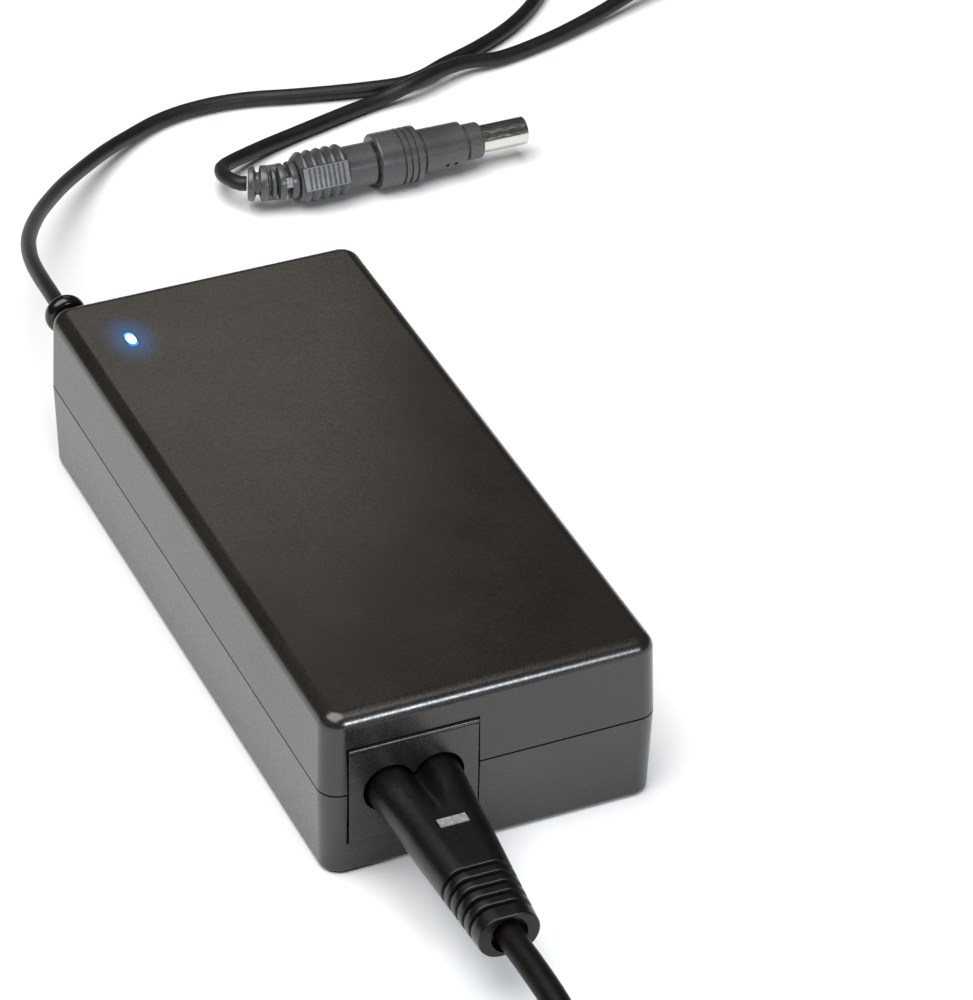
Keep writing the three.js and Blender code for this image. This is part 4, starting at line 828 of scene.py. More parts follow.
class ADAPTER_OT_leads(bpy.types.Operator):
    """Lay the mains lead and the low-voltage lead along their routes, with their coils and ties"""

    bl_idname = "adapter.leads"
    bl_label = "Leads"

    def execute(self, context):
        look = context.scene.adapter_look
        tones = (look.cord_dark, look.cord_light)
        jacket = flexible_pvc("flexible_pvc_jacket", tones, (0.4, 0.5), 2.2, 0.03, 0.1)
        dc_jacket = flexible_pvc("flexible_pvc_thin_jacket", ("#12110f", "#1a1917"), (0.4, 0.52), 1.6, 0.02, 0.35)
        strap_pvc = flexible_pvc("soft_pvc_strap", ("#161616", "#1d1d1d"), (0.45, 0.6), 1.0, 0.02)
        for name, (coil, width, angle) in TIES.items():
            body = "mains_lead" if name == "mains_coil_tie" else "adapter"
            tie = strap(coil, width, angle)
            tie.name = name + "_strap"
            belongs(tie, body, [name], strap_pvc)
        lead = cord_curve("mains_lead_cord", mains_route(), MAINS)
        belongs(lead, "mains_lead", ["mains_cord_out", "mains_coil", "mains_cord_end"], jacket)
        low = cord_curve("dc_lead_cord", dc_route(), DC)
        belongs(low, "adapter", ["dc_cord_out", "dc_coil", "dc_cord_return"], dc_jacket)
        return {"FINISHED"}


# ---------------------------------------------------------------- case
def lean(z):
    """How far the case's sides lean in at a height."""
    share = 1 - z / PARTING if z < PARTING else (z - PARTING) / (HEIGHT - PARTING)
    return DRAFT * share


def case_block(name, inset, low, high, segments=4):
    """A block with the case's rounded plan at an inset, whose sides lean with the case's."""
    wide, long = HALF_WIDTH - inset, HALF_LENGTH - inset
    piece = block(name, (-wide, -long, low), (wide, long, high))
    for z in (low, high):
        choose(piece, "VERT", lambda corners: abs(corners[0].z - z) < TOUCH)
        share = (1 - lean(z) / wide, 1 - lean(z) / long, 1)
        bpy.ops.transform.resize(value=share, center_override=(0, 0, z * MM))
    round_edges(piece, along_axis(2, (high - low) / 2), max(CORNER - inset, 1), segments)
    return piece


def inlet_opening():
    return inlet_block("inlet_opening", PLATE[0] / 2 + FIT, PLATE[1] / 2 + FIT, -HALF_LENGTH - WALL, FLANGE["front"])


def lamp_slot(name, spare, low, high):
    half_x, half_y = LAMP_WINDOW[0] / 2 + spare, LAMP_WINDOW[1] / 2 + spare
    slot = block(name, (LAMP[0] - half_x, LAMP[1] - half_y, low), (LAMP[0] + half_x, LAMP[1] + half_y, high))
    round_edges(slot, along_axis(2, (high - low) / 2), half_x * LAMP_END_ROUND, 8)
    return slot


def upper_shell_piece():
    rim = PARTING + SEAM / 2
    shell = case_block("case_upper_shell", 0, rim, HEIGHT, 12)
    round_edges(shell, lambda corners: all(c.z > HEIGHT - TOUCH for c in corners), TOP_EDGE, 10)
    join(shell, case_block("tongue", WALL / 2 + FIT, PARTING - LIP, rim + WALL))
    cut(shell, case_block("hollow", WALL, 0, CEILING))
    cut(shell, inlet_opening())
    cut(shell, lamp_slot("lamp_hole", SNUG, CEILING - WALL, HEIGHT + WALL))
    x, z = DC_EXIT
    cut(shell, y_rod("cord_hole", DC_NECK / 2 + SNUG, x, z, HALF_LENGTH - 2 * WALL, HALF_LENGTH + WALL))
    soften(shell, 0.1, 2, 60)
    return shell


def lower_shell_piece():
    shell = case_block("case_lower_shell", 0, 0, PARTING - SEAM / 2, 12)
    round_edges(shell, lambda corners: all(c.z < TOUCH for c in corners), BASE_EDGE, 6)
    cut(shell, case_block("hollow", WALL, WALL, HEIGHT))
    cut(shell, case_block("rebate", WALL / 2, PARTING - LIP - FIT, HEIGHT))
    cut(shell, inlet_opening())
    half_x, half_y = LABEL[0] / 2 + FIT, LABEL[1] / 2 + FIT
    cut(shell, block("recess", (-half_x, -half_y, -WALL), (half_x, half_y, LABEL_RECESS)))
    for x, y in POSTS:
        join(shell, rod("post", POST, (x, y, WALL / 2), (x, y, BOARD_BASE), 24))
    soften(shell, 0.1, 2, 60)
    return shell


class ADAPTER_OT_case(bpy.types.Operator):
    """Model the two hollow case shells, with tongue, rebate, openings and posts"""

    bl_idname = "adapter.case"
    bl_label = "Case"

    def execute(self, context):
        look = context.scene.adapter_look
        colours = (look.case_dark, look.case_light)
        lower = lower_shell_piece()
        upper = upper_shell_piece()
        for shell in (lower, upper):
            smooth(shell)
        belongs(lower, "adapter", ["lower_shell"], moulded_abs("moulded_abs_lower", colours))
        top = moulded_abs("moulded_abs_upper", colours)
        # Painted glow: the upper shell's plastic is given blue emission round the lamp's window.
        paint_lamp_glow(top, look.lamp_colour, look.lamp_reach, look.lamp_strength)
        belongs(upper, "adapter", ["upper_shell"], top)
        return {"FINISHED"}


class ADAPTER_OT_lamp(bpy.types.Operator):
    """Model the light pipe whose lit end is the lamp window"""

    bl_idname = "adapter.lamp"
    bl_label = "Lamp window"

    def execute(self, context):
        look = context.scene.adapter_look
        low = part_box("light_pipe")[0].z / MM
        pipe = lamp_slot("lamp_light_pipe", 0, low, HEIGHT)
        flange_low, flange_high = (CEILING - below for below in LAMP_FLANGE["below"])
        join(pipe, lamp_slot("flange", LAMP_FLANGE["spare"], flange_low, flange_high))
        soften(pipe, 0.1, 2, 60)
        smooth(pipe)
        lit = lit_window("lit_acrylic_window", look.lamp_colour, "#f4fbff", LAMP_CORE_LEVEL)
        belongs(pipe, "adapter", ["light_pipe"], lit)
        return {"FINISHED"}


# ---------------------------------------------------------------- inlet and mains plug
def socket_tool(front, back):
    """The space of the figure eight: two cylinders and the bar between them."""
    radius, half = SOCKET["radius"], SOCKET["spacing"] / 2
    tool = y_rod("socket", radius, INLET_X - half, INLET_Z, front, back, 64)
    join(tool, y_rod("lobe", radius, INLET_X + half, INLET_Z, front, back, 64))
    join(tool, inlet_block("bar", half, SOCKET["waist"], front, back))
    return tool


class ADAPTER_OT_inlet(bpy.types.Operator):
    """Model the inlet: its plate, the flange behind the wall and the figure-eight socket"""

    bl_idname = "adapter.inlet"
    bl_label = "Inlet"

    def execute(self, context):
        front = -HALF_LENGTH - PLATE_PROUD
        bottom = -HALF_LENGTH + SOCKET["depth"]
        back = bottom + SOCKET["wall"]
        half_x, half_z = PLATE[0] / 2, PLATE[1] / 2
        flange, rim = FLANGE["front"], FLANGE["rim"]
        plate = inlet_block("inlet_plate_and_socket", half_x, half_z, front, flange + PLATE_OVERLAP)
        join(plate, inlet_block("flange", half_x + rim, half_z + rim, flange, flange + FLANGE["thickness"]))
        half_high = SOCKET["radius"] + SOCKET["wall"]
        join(plate, inlet_block("shroud", SOCKET["spacing"] / 2 + half_high, half_high, flange, back))
        cut(plate, socket_tool(-HALF_LENGTH - 1, bottom))
        for x in PIN_PLACES:
            cut(plate, y_rod("pin_hole", PIN / 2 + SNUG, x, INLET_Z, back - 4, back + 1, 32))
        lip = LIP_ON_PLATE
        left, right, top = INLET_X - half_x, INLET_X + half_x, INLET_Z + half_z
        under = top - lip["height"]
        join(plate, block("lip", (left, front - lip["proud"], under), (right, front + lip["sunk"], top)))
        cut(plate, block("line", (left, front - 1, under - lip["line"]), (right, front + lip["line_depth"], under)))
        round_edges(plate, lambda corners: all(c.z > top - TOUCH and c.y < front for c in corners), lip["round"], 4)
        soften(plate, 0.12, 3, 50)
        smooth(plate)
        nylon = moulded_abs("glass_filled_nylon_inlet", ("#1d1a17", "#26221f"), 0.5, 0.008, (0.24, 0.34))
        belongs(plate, "adapter", ["inlet_housing"], nylon)
        dress(plated("nickel_plated_pins", "#cfcac0", (0.2, 0.32)), "inlet_pin_left", "inlet_pin_right")
        return {"FINISHED"}


def plug_ring(outside, shrink=0, groove=0):
    """Two lobes in the inlet that flow into one tapering body, at a distance outside the inlet."""
    nose, shoulder, end = PLUG_HALF_WIDTHS
    to_shoulder = smoothstep(outside, 0, PLUG_SHOULDER)
    to_end = min(max((outside - PLUG_SHOULDER) / (PLUG_LENGTH - PLUG_SHOULDER), 0), 1)
    half_wide = nose + (shoulder - nose) * to_shoulder
    half_wide += (end - half_wide) * to_end
    notch = PLUG_NOTCH * (1 - to_shoulder)
    half = half_wide - PLUG_LOBE
    along = min(max(outside / PLUG_LENGTH, 0), 1)
    thin_x = 1 - (GROOVES["at_sides"] * groove + shrink) / half_wide
    thin_z = 1 - (groove + shrink) / PLUG_LOBE
    ring = []
    lobe_steps, waist_steps = 28, 24
    for side in (1, -1):
        for i in range(lobe_steps + 1):
            angle = math.pi * (i / lobe_steps - 0.5)
            ring.append((side * (half + PLUG_LOBE * math.cos(angle)), side * PLUG_LOBE * math.sin(angle)))
        for i in range(1, waist_steps):
            across = half * (1 - 2 * i / waist_steps)
            valley = (0.5 + 0.5 * math.cos(math.pi * across / half)) ** 2
            ring.append((side * across, side * (PLUG_LOBE - notch * valley)))
    x, y, z = INLET_X + PLUG_SHIFT * along, -HALF_LENGTH - outside, INLET_Z - PLUG_DROP * along
    return [(x + dx * thin_x, y, z + dz * thin_z) for dx, dz in ring]


def plug_rings():
    rings = []
    arc, plain_steps = 6, 34
    for along, back in rounded_edge(PLUG_NOSE_ROUND, arc)[:-1]:
        rings.append(plug_ring(along - PLUG_NOSE, back))
    plain_start = -PLUG_NOSE + PLUG_NOSE_ROUND
    for i in range(plain_steps):
        rings.append(plug_ring(plain_start + (FIRST_GROOVE - plain_start) * i / plain_steps))
    for i in range(GROOVES["count"]):
        start = FIRST_GROOVE + i * GROOVES["pitch"]
        rings += [plug_ring(start + along, 0, share * GROOVES["depth"]) for along, share in GROOVE_SECTION]
        rings.append(plug_ring(start + (GROOVES["width"] + GROOVES["pitch"]) / 2))
    rings += [plug_ring(PLUG_LENGTH - back, along) for along, back in rounded_edge(PLUG_END_ROUND, arc)]
    return rings


class ADAPTER_OT_mains_plug(bpy.types.Operator):
    """Model the mains plug moulding, its spring sleeves' bores, cord mouth and bare marking pad, whose light grey is a
    painted highlight
    """

    bl_idname = "adapter.mains_plug"
    bl_label = "Mains plug"

    def execute(self, context):
        plug = lofted("mains_plug_moulding", plug_rings())
        x, z = PLUG_END_X, PLUG_END_Z
        mouth = y_rod("mouth", 1, x, z, PLUG_END - 1, PLUG_END + PLUG_MOUTH, 64)
        choose(mouth, "VERT", lambda corners: True)
        half_x, half_z = PLUG_MOUTH_HALF
        bpy.ops.transform.resize(value=(half_x, 1, half_z), center_override=mm(x, 0, z))
        leave_edit()
        cut(plug, mouth)
        nose = -HALF_LENGTH + PLUG_NOSE
        for x in PIN_PLACES:
            cut(plug, y_rod("bore", PIN / 2 + FIT, x, INLET_Z, nose - SLEEVE_CHAMBER["mouth"], nose + 1, 32))
            start, end = nose - SLEEVE_CHAMBER["to"], nose - SLEEVE_CHAMBER["from"]
            cut(plug, y_rod("chamber", SLEEVE_CHAMBER["radius"], x, INLET_Z, start, end, 32))
        smooth(plug, 40)
        rubber = flexible_pvc("moulded_pvc_plug", ("#060606", "#0a0909"), (0.3, 0.4), 3.0, 0.02, 0.35)
        belongs(plug, "mains_lead", ["mains_plug"], rubber)
        low, high = ([c + way * h for c, h in zip(*MARKING_PAD.values())] for way in (-1, 1))
        pad = block("mains_plug_marking_pad", low, high)
        soften(pad, 0.08, 2)
        smooth(pad)
        # The raised pad is light grey: a painted highlight where its face catches the light.
        pad_highlight_paint = flexible_pvc("polished_pvc_pad", ("#6f6f6e", "#8f8f8e"), (0.3, 0.4), 0.7, 0.005)
        belongs(pad, "mains_lead", [], pad_highlight_paint)
        brass = plated("brass_spring_sleeves", "#b8924d", (0.25, 0.4))
        dress(brass, "mains_plug_sleeve_left", "mains_plug_sleeve_right")
        return {"FINISHED"}


# ---------------------------------------------------------------- wall plug
def rounded_section(x, y, z, half_wide, half_thick, power, sides=72):
    """A ring between an ellipse (power 2) and a rectangle (higher powers), across the X axis."""
    ring = []
    for i in range(sides):
        angle = 2 * math.pi * i / sides
        c, s = math.cos(angle), math.sin(angle)
        across = math.copysign(abs(c) ** (2 / power), c)
        high = math.copysign(abs(s) ** (2 / power), s)
        ring.append((x, y + half_wide * across, z + half_thick * high))
    return ring


def wall_groove(along):
    """How deep the wall plug's strain relief is grooved at a distance from its tail."""
    if not WALL_GROOVES["from"] < along < WALL_GROOVES["to"]:
        return 0
    pitch = WALL_RELIEF["length"] / WALL_GROOVES["count"]
    within = along % pitch / pitch
    flank = WALL_GROOVES["flank"]
    return WALL_GROOVES["depth"] * smoothstep(within, 0, flank) * smoothstep(WALL_GROOVES["open"] - within, 0, flank)


def wall_plug_rings(y):
    """Sections along X: the ringed relief, the swelling body and its rounded edge at the face."""
    wide, thick = WALL_PLUG_HALF
    neck_wide, neck_thick = WALL_PLUG_NECK
    round_power, neck_power, face_power = WALL_PLUG_POWERS
    length = WALL_RELIEF["length"]
    rings = []
    relief_steps, body_steps = 88, 40
    for i in range(relief_steps):
        at = i / relief_steps
        radius = WALL_RELIEF["radius"] + WALL_RELIEF["swell"] * smoothstep(at, 0, 1)
        groove = wall_groove(at * length)
        half = radius - groove, radius * WALL_RELIEF["flatness"] - groove
        rings.append(rounded_section(WALL_PLUG_TAIL + at * length, y, thick, *half, round_power))
    for i in range(body_steps + 1):
        at = i / body_steps
        widened = sum(share * smoothstep(at, 0, until) for share, until in WALL_PLUG_WIDENING)
        half_wide = neck_wide + (wide - neck_wide) * widened
        half_thick = neck_thick + (thick - neck_thick) * smoothstep(at, 0, WALL_PLUG_THICKENING)
        power = neck_power + (face_power - neck_power) * smoothstep(at, 0, WALL_PLUG_WIDENING[1][1])
        along = WALL_PLUG_BACK + at * (WALL_PLUG_LENGTH - WALL_PLUG_EDGE)
        rings.append(rounded_section(along, y, thick, half_wide, half_thick, power))
    for less, back in rounded_edge(WALL_PLUG_EDGE, 6)[1:]:
        rings.append(rounded_section(WALL_PLUG_FACE - back, y, thick, wide - less, thick - less, face_power))
    return rings


class ADAPTER_OT_wall_plug(bpy.types.Operator):
    """Model the flat two-pin wall plug with its ringed strain relief and sleeved pins"""

    bl_idname = "adapter.wall_plug"
    bl_label = "Wall plug"

    def execute(self, context):
        low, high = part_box("wall_plug_body")
        y = (low.y + high.y) / 2 / MM
        z = WALL_PLUG_HALF[1]
        plug = lofted("wall_plug_moulding", wall_plug_rings(y))
        metal = plated("nickel_plated_wall_pins", "#cdc9c0", (0.18, 0.3))
        sleeve_plastic = moulded_abs("nylon_pin_sleeve", ("#141414", "#1a1a1a"), 0.5, 0.005)
        radius, core, outer = (WALL_PIN[part] for part in ("radius", "core", "sleeve_radius"))
        root, bare, tip = (WALL_PLUG_FACE + WALL_PIN[part] for part in ("root", "sleeve", "length"))
        profile = [(root, 0), (root, core), (bare, core), (bare, radius - 0.1), (bare + 0.1, radius)]
        profile += [(tip - back, radius - less) for less, back in rounded_edge(radius, 8)]
        shell = [(root, core), (root, outer), (bare - 0.1, outer), (bare - 0.1, core), (root, core)]
        for side, end in ((-1, "right"), (1, "left")):
            at = y + side * WALL_PIN["spacing"] / 2
            cut(plug, rod("socket", radius + SNUG, (root - FIT, at, z), (WALL_PLUG_FACE + 1, at, z)))
            pin = turned("wall_plug_pin_" + end + "_metal", profile, 40)
            sleeve = turned("wall_plug_pin_" + end + "_sleeve", shell, 40)
            for piece, slot, material in ((pin, "nickel", metal), (sleeve, "insulator", sleeve_plastic)):
                piece.location = mm(0, at, z)
                smooth(settle(piece))
                belongs(piece, "mains_lead", ["wall_plug_pin_" + end], material)
        smooth(plug, 40)
        rubber = flexible_pvc("moulded_pvc_wall_plug", ("#101010", "#171716"), (0.32, 0.44), 3.0, 0.02)
        belongs(plug, "mains_lead", ["wall_plug_body"], rubber)
        return {"FINISHED"}


# ---------------------------------------------------------------- low-voltage strain relief and connector
class ADAPTER_OT_case_strain_relief(bpy.types.Operator):
    """Model the cord's strain relief at the case: anchor, neck and rounded collar"""

    bl_idname = "adapter.case_strain_relief"
    bl_label = "Case strain relief"

    def execute(self, context):
        x, z = DC_EXIT
        inside = (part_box("dc_strain_relief")[0] / MM).y
        start = HALF_LENGTH + DC_GROOVE
        low = (x - DC_ANCHOR["left"], inside, z - DC_ANCHOR["below"])
        high = (x + DC_ANCHOR["right"], inside + DC_ANCHOR["thickness"], z + DC_ANCHOR["above"])
        relief = block("dc_strain_relief_moulding", low, high)
        join(relief, y_rod("neck", DC_NECK / 2, x, z, inside + DC_ANCHOR["thickness"] / 2, start + DC_COLLAR[1] / 2))
        collar = y_rod("collar", DC_COLLAR[0] / 2, x, z, start, start + DC_COLLAR[1], 64)
        round_edges(collar, lambda corners: abs(corners[0].y - corners[1].y) < TOUCH, DC_COLLAR_ROUND, 8)
        join(relief, collar)
        smooth(relief, 40)
        gloss = flexible_pvc("glossy_pvc_collar", ("#0d0d0c", "#131211"), (0.16, 0.24), 3.0, 0.01)
        belongs(relief, "adapter", ["dc_strain_relief"], gloss)
        return {"FINISHED"}


def rounded_profile(start, end, radius, edge, far_radius=None, steps=4):
    """Profile points of a disc with rounded rims, from its start face's rim to its end face's."""
    far = far_radius or radius
    rim = rounded_edge(edge, steps)
    near_rim = [(start + along, radius - back) for along, back in rim]
    return near_rim + [(end - along, far - back) for along, back in reversed(rim)]


def relief_radius(along):
    rear, front = RELIEF_RADII
    return rear + (front - rear) * along / RELIEF_LENGTH


def connector_relief_piece():
    """Discs on a core, joined across each slot by bridges on two opposite sides, rolled and bent."""
    starts = [0] + [end for start, end, above in RELIEF_SLOTS]
    ends = [start for start, end, above in RELIEF_SLOTS] + [RELIEF_LENGTH]
    profile = [(0, 0)]
    for start, end in zip(starts, ends):
        lower = RELIEF_LOW_DISC if start == RELIEF_SLOTS[1][1] else 0
        edge = RELIEF_EDGES[0 if start == 0 else 1]
        rim = rounded_profile(start, end, relief_radius(start) - lower, edge, relief_radius(end) - lower)
        before = [(start - RELIEF_FLARE, RELIEF_CORE)] if start else []
        after = [(end + RELIEF_FLARE, RELIEF_CORE)] if end < RELIEF_LENGTH else []
        profile += before + rim + after
    piece = turned("connector_relief_plates", [*profile, (RELIEF_LENGTH, 0)], 72)
    for start, end, above in RELIEF_SLOTS:
        wide = relief_radius(start) - RELIEF_BRIDGE_WALL
        half_y, half_z = (wide, RELIEF_BRIDGE / 2) if above else (RELIEF_BRIDGE / 2, wide)
        bridge = block("bridge", (start - 2 * SNUG, -half_y, -half_z), (end + 2 * SNUG, half_y, half_z))
        round_edges(bridge, along_axis(0, SNUG), 0.2, 2)
        join(piece, bridge)
    piece.rotation_euler = (CONNECTOR_ROLL, 0, 0)
    piece.location = mm(-RELIEF_LENGTH, 0, 0)
    settle(piece)
    apply_modifier(piece, "SIMPLE_DEFORM", deform_method="BEND", deform_axis="Z", angle=RELIEF_BEND)
    piece.location = mm(RELIEF_LENGTH, 0, 0)
    return settle(piece)


def connector_grip_piece():
    valley = GRIP_RADIUS - RIB_HEIGHT
    first, per_rib = GRIP_START + RIB_START, 14
    profile = [(GRIP_START, 0), (GRIP_START, valley - GRIP_EDGE), (GRIP_START + GRIP_EDGE, valley)]
    for i in range(RIB_COUNT * per_rib + 1):
        wave = 0.5 - 0.5 * math.cos(2 * math.pi * i / per_rib)
        along = first + (GRIP_END - first) * i / (RIB_COUNT * per_rib)
        profile.append((along, valley + RIB_HEIGHT * wave**RIB_FULLNESS))
    bore = BARREL_RADIUS + SNUG
    profile += [(GRIP_END + 0.1, NECK_RADIUS), (NECK_END - NECK_EDGE, NECK_RADIUS), (NECK_END, NECK_RADIUS - NECK_EDGE)]
    profile += [(NECK_END, bore), (GRIP_END, bore), (GRIP_END, 0)]
    grip = turned("connector_grip_body", profile, 72)
    low, high = GRIP_START + FIT, GRIP_END - FIT
    for side in (-1, 1):
        near, far = sorted((side * (PAD_FACE - 0.3), side * (GRIP_RADIUS + 1)))
        cut(grip, block("clearing", (low, near, -PAD_HALF_HEIGHT), (high, far, PAD_HALF_HEIGHT)))
    pads = block("pads", (low, -PAD_FACE, -PAD_HALF_HEIGHT), (high, PAD_FACE, PAD_HALF_HEIGHT))
    round_edges(pads, lambda corners: all(abs(c.y) > PAD_FACE - TOUCH for c in corners), 0.15, 2)
    depth, tall = PAD_LINES["depth"], PAD_HALF_HEIGHT - PAD_LINES["ends"]
    pitch = (high - low - 2 * PAD_LINES["rim"]) / PAD_LINES["count"]
    for side in (-1, 1):
        for i in range(PAD_LINES["count"]):
            x, y = low + PAD_LINES["rim"] + (i + 0.25) * pitch, side * PAD_FACE
            cut(pads, block("line", (x, y - depth, -tall), (x + 0.5 * pitch, y + depth, tall)))
    join(grip, pads)
    return grip


def tip_piece():
    bore = BARREL_RADIUS + SNUG
    floor = BARREL_END + FIT
    profile = [(floor, 0), (floor, bore), (TIP_START, bore), (TIP_START, COLLAR_RADIUS - TIP_ROUND)]
    profile += [(TIP_START + along, COLLAR_RADIUS - back) for along, back in rounded_edge(TIP_ROUND, 4)]
    width, depth = TIP_GROOVES["width"], TIP_GROOVES["depth"]
    last = NOSE_START - TIP_GROOVES["ring"] - width
    for i in reversed(range(TIP_GROOVES["count"])):
        start = last - i * TIP_GROOVES["pitch"]
        profile += [(start + along * width, COLLAR_RADIUS - down * depth) for along, down in TIP_GROOVE_SECTION]
    for turn in quarter_turn(4)[::-1]:
        back = COLLAR_ROUND * (1 - math.sin(turn))
        profile.append((NOSE_START - COLLAR_ROUND * math.cos(turn), COLLAR_RADIUS - back))
    neck, nose = NOSE_RADIUS - depth, NOSE_START + NOSE_GROOVE
    profile += [(NOSE_START, neck), (nose, neck), (nose, NOSE_RADIUS - NOSE_EDGE), (nose + NOSE_EDGE, NOSE_RADIUS)]
    profile += [(TIP_END_START + along, radius) for along, radius in TIP_GAP]
    profile += [(TIP_FRONT - back, TIP_END_RADIUS - along) for along, back in rounded_edge(TIP_ROUND, 4)]
    profile += [(TIP_FRONT, bore), (TIP_FRONT - TIP_SOCKET, bore), (TIP_FRONT - TIP_SOCKET, 0)]
    tip = turned("connector_tip_moulding", profile, 72)
    turn, size = TIP_DIMPLES["below"], TIP_DIMPLES["size"]
    across = Vector((0, -math.cos(turn), -math.sin(turn)))
    for x in TIP_DIMPLES["at"]:
        low, high = (Vector((x, 0, 0)) + across * (NOSE_RADIUS + up) for up in (-size, 1))
        cut(tip, rod("dimple", size, low, high, 20))
    return tip


class ADAPTER_OT_connector(bpy.types.Operator):
    """Model the low-voltage connector: slotted strain relief, ribbed grip with pads and the barrel inside"""

    bl_idname = "adapter.connector"
    bl_label = "Connector"

    def execute(self, context):
        relief = connector_relief_piece()
        grip = connector_grip_piece()
        satin = moulded_abs("satin_pvc_connector", ("#3f3f3f", "#4f4f4e"), 0.35, 0.004, (0.24, 0.36))
        place_on_connector(relief)
        place_on_connector(grip, CONNECTOR_ROLL)
        for piece, node in ((relief, "connector_strain_relief"), (grip, "connector_grip")):
            smooth(piece, 35)
            belongs(piece, "adapter", [node], satin)
        # The pads' faces, between their lines, get a lighter material: a painted highlight where the light grazes them.
        grip.data.materials.append(moulded_abs("rubbed_pvc_pad", ("#6b6c6f", "#a2a3a6"), 0.5, 0.01, (0.35, 0.5)))
        unroll = Matrix.Rotation(-CONNECTOR_ROLL, 3, "X")

        def on_pad(corners):
            flat = [unroll @ (c - CONNECTOR) for c in corners]
            return all(abs(c.y) > PAD_FACE - TOUCH and abs(c.z) < PAD_HALF_HEIGHT - 0.1 for c in flat)

        choose(grip, "FACE", on_pad)
        grip.active_material_index = 1
        bpy.ops.object.material_slot_assign()
        leave_edit()
        dress(plated("nickel_connector_barrel", "#d2cfc8", (0.18, 0.28)), "connector_barrel")
        dress(plated("brass_inner_sleeve", "#c09a55", (0.25, 0.35)), "connector_inner_sleeve")
        dress(speckled("black_connector_insulator", ("#161616", "#1c1c1c"), 0.5, (0.5, 0.6)), "connector_insulator")
        return {"FINISHED"}


class ADAPTER_OT_tip(bpy.types.Operator):
    """Model the pull-off tip: grooved collar, nose, end and bright barrel"""

    bl_idname = "adapter.tip"
    bl_label = "Tip"

    def execute(self, context):
        tip = tip_piece()
        smooth(place_on_connector(tip), 35)
        satin = moulded_abs("satin_abs_tip", ("#3d3d3e", "#4d4d4d"), 0.35, 0.004, (0.24, 0.36))
        belongs(tip, "connector_tip", ["tip_body"], satin)
        inner = BARREL_RADIUS - BARREL_WALL
        start, end = TIP_FRONT - TIP_SOCKET + FIT, TIP_BARREL_END
        rim = rounded_profile(start, end, BARREL_RADIUS, 0.2)
        barrel = turned("connector_tip_barrel", [(start, inner), *rim, (end, inner), (start, inner)], 64)
        smooth(place_on_connector(barrel), 35)
        belongs(barrel, "connector_tip", ["tip_barrel"], plated("nickel_tip_barrel", "#d6d3cc", (0.14, 0.24)))
        dress(plated("brass_tip_pin", "#c6a05a", (0.22, 0.32)), "tip_pin")
        dress(plated("brass_tip_sleeve", "#c09a55", (0.25, 0.35)), "tip_inner_sleeve")
        dress(speckled("black_tip_insulator", ("#161616", "#1c1c1c"), 0.5, (0.5, 0.6)), "tip_insulator")
        return {"FINISHED"}


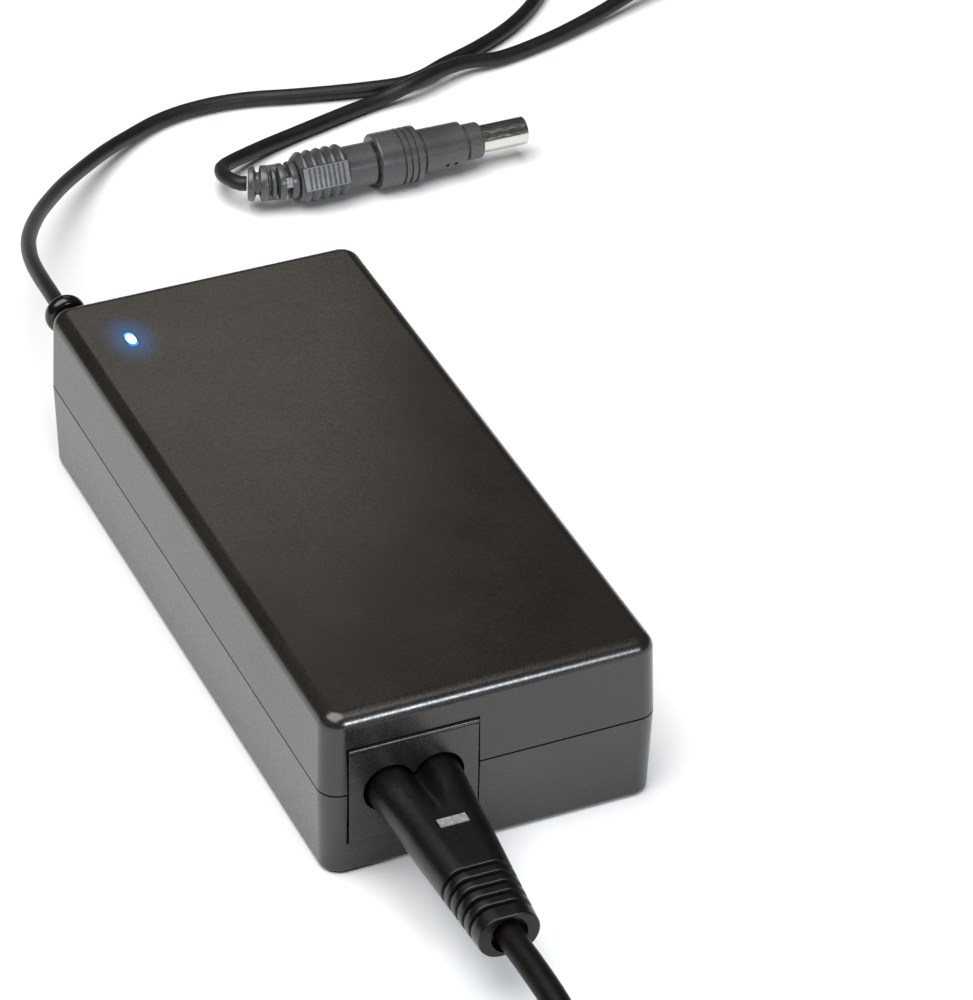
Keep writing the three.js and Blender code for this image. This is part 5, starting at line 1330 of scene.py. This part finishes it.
# ---------------------------------------------------------------- inside and underneath
class ADAPTER_OT_inside(bpy.types.Operator):
    """Finish the rating label, the board and the parts on it"""

    bl_idname = "adapter.inside"
    bl_label = "Inside"

    def execute(self, context):
        epoxy = speckled("moulded_epoxy", ("#141416", "#1d1d20"), 0.3, (0.5, 0.65))
        dress(epoxy, "bridge_rectifier", "switching_transistor", "output_rectifier", "controller_chip", "optocoupler")
        copper = wound_wire("enamelled_copper", ("#7a3a1c", "#b86b3a"), 1.1)
        dress(copper, "choke_winding_left", "choke_winding_right", "output_choke")
        sleeve = flexible_pvc("shrink_sleeve", ("#171b24", "#20252f"), (0.22, 0.32), 4, 0.01)
        dress(sleeve, "fuse", "bulk_capacitor", "output_capacitor_a", "output_capacitor_b")
        dress(sheet_aluminium("rolled_aluminium"), "heat_spreader", "primary_heat_sink", "secondary_heat_sink")
        ferrite = speckled("sintered_ferrite", ("#26272a", "#33353a"), 0.25, (0.6, 0.8))
        dress(ferrite, "choke_core", "transformer_core")
        dress(speckled("matt_label_film", ("#1c1c1e", "#222224"), 0.8, (0.45, 0.55), 0.005), "rating_label")
        dress(speckled("board_solder_mask", ("#1f5230", "#2a6b3e"), 3.0, (0.3, 0.45)), "main_board")
        dress(speckled("pressed_fibre_sheet", ("#73706a", "#8a877f"), 1.2, (0.6, 0.75)), "insulation_sheet")
        dress(speckled("filled_polyester_box", ("#c49a1e", "#d8b23c"), 0.6, (0.35, 0.5)), "filter_capacitor")
        dress(speckled("dipped_blue_ceramic", ("#224f92", "#2f63ab"), 0.8, (0.3, 0.4)), "safety_capacitor")
        dress(flexible_pvc("polyester_tape", ("#c8a11f", "#dab83a"), (0.2, 0.3), 5, 0.02), "transformer_winding")
        dress(flexible_pvc("water_clear_lamp", ("#9fc4ea", "#b8d6f4"), (0.08, 0.15), 3, 0.002), "indicator_led")
        return {"FINISHED"}


class ADAPTER_OT_cords(bpy.types.Operator):
    """Work out the two cords' routes and list their thickness, far end, stiffness and the pieces on each, without using
    them
    """

    bl_idname = "adapter.cords"
    bl_label = "Cords"

    def execute(self, context):
        for name, route, diameter, far_end, stiffness, on_it in (
            ("mains_lead_cord", mains_route(), MAINS, "plug", "medium", ON_MAINS_CORD),
            ("dc_lead_cord", dc_route(), DC, "connector", "limp", ON_DC_CORD),
        ):
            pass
        return {"FINISHED"}


CLASSES = [
    AdapterLook,
    AdapterStudio,
    ADAPTER_OT_stage,
    ADAPTER_OT_leads,
    ADAPTER_OT_case,
    ADAPTER_OT_lamp,
    ADAPTER_OT_inlet,
    ADAPTER_OT_mains_plug,
    ADAPTER_OT_wall_plug,
    ADAPTER_OT_case_strain_relief,
    ADAPTER_OT_connector,
    ADAPTER_OT_tip,
    ADAPTER_OT_inside,
    ADAPTER_OT_cords,
]
STEPS = [item.bl_idname.split(".")[1] for item in CLASSES if hasattr(item, "bl_idname")]


class ADAPTER_PT_panel(bpy.types.Panel):
    """Lists the adapter's pieces and settings"""

    bl_idname = "ADAPTER_PT_panel"
    bl_label = "Power Adapter"
    bl_space_type = "VIEW_3D"
    bl_region_type = "UI"
    bl_category = "Adapter"

    def draw(self, context):
        for group in (context.scene.adapter_look, context.scene.adapter_studio):
            for name in group.__annotations__:
                self.layout.prop(group, name)
        for step in STEPS:
            self.layout.operator("adapter." + step)


def register():
    for item in [*CLASSES, ADAPTER_PT_panel]:
        bpy.utils.register_class(item)
    bpy.types.Scene.adapter_look = bpy.props.PointerProperty(type=AdapterLook)
    bpy.types.Scene.adapter_studio = bpy.props.PointerProperty(type=AdapterStudio)


def unregister():
    del bpy.types.Scene.adapter_look
    del bpy.types.Scene.adapter_studio
    for item in reversed([*CLASSES, ADAPTER_PT_panel]):
        bpy.utils.unregister_class(item)


def main():
    register()
    for step in STEPS:
        getattr(bpy.ops.adapter, step)()
    select_none()


if __name__ == "__main__":
    main()
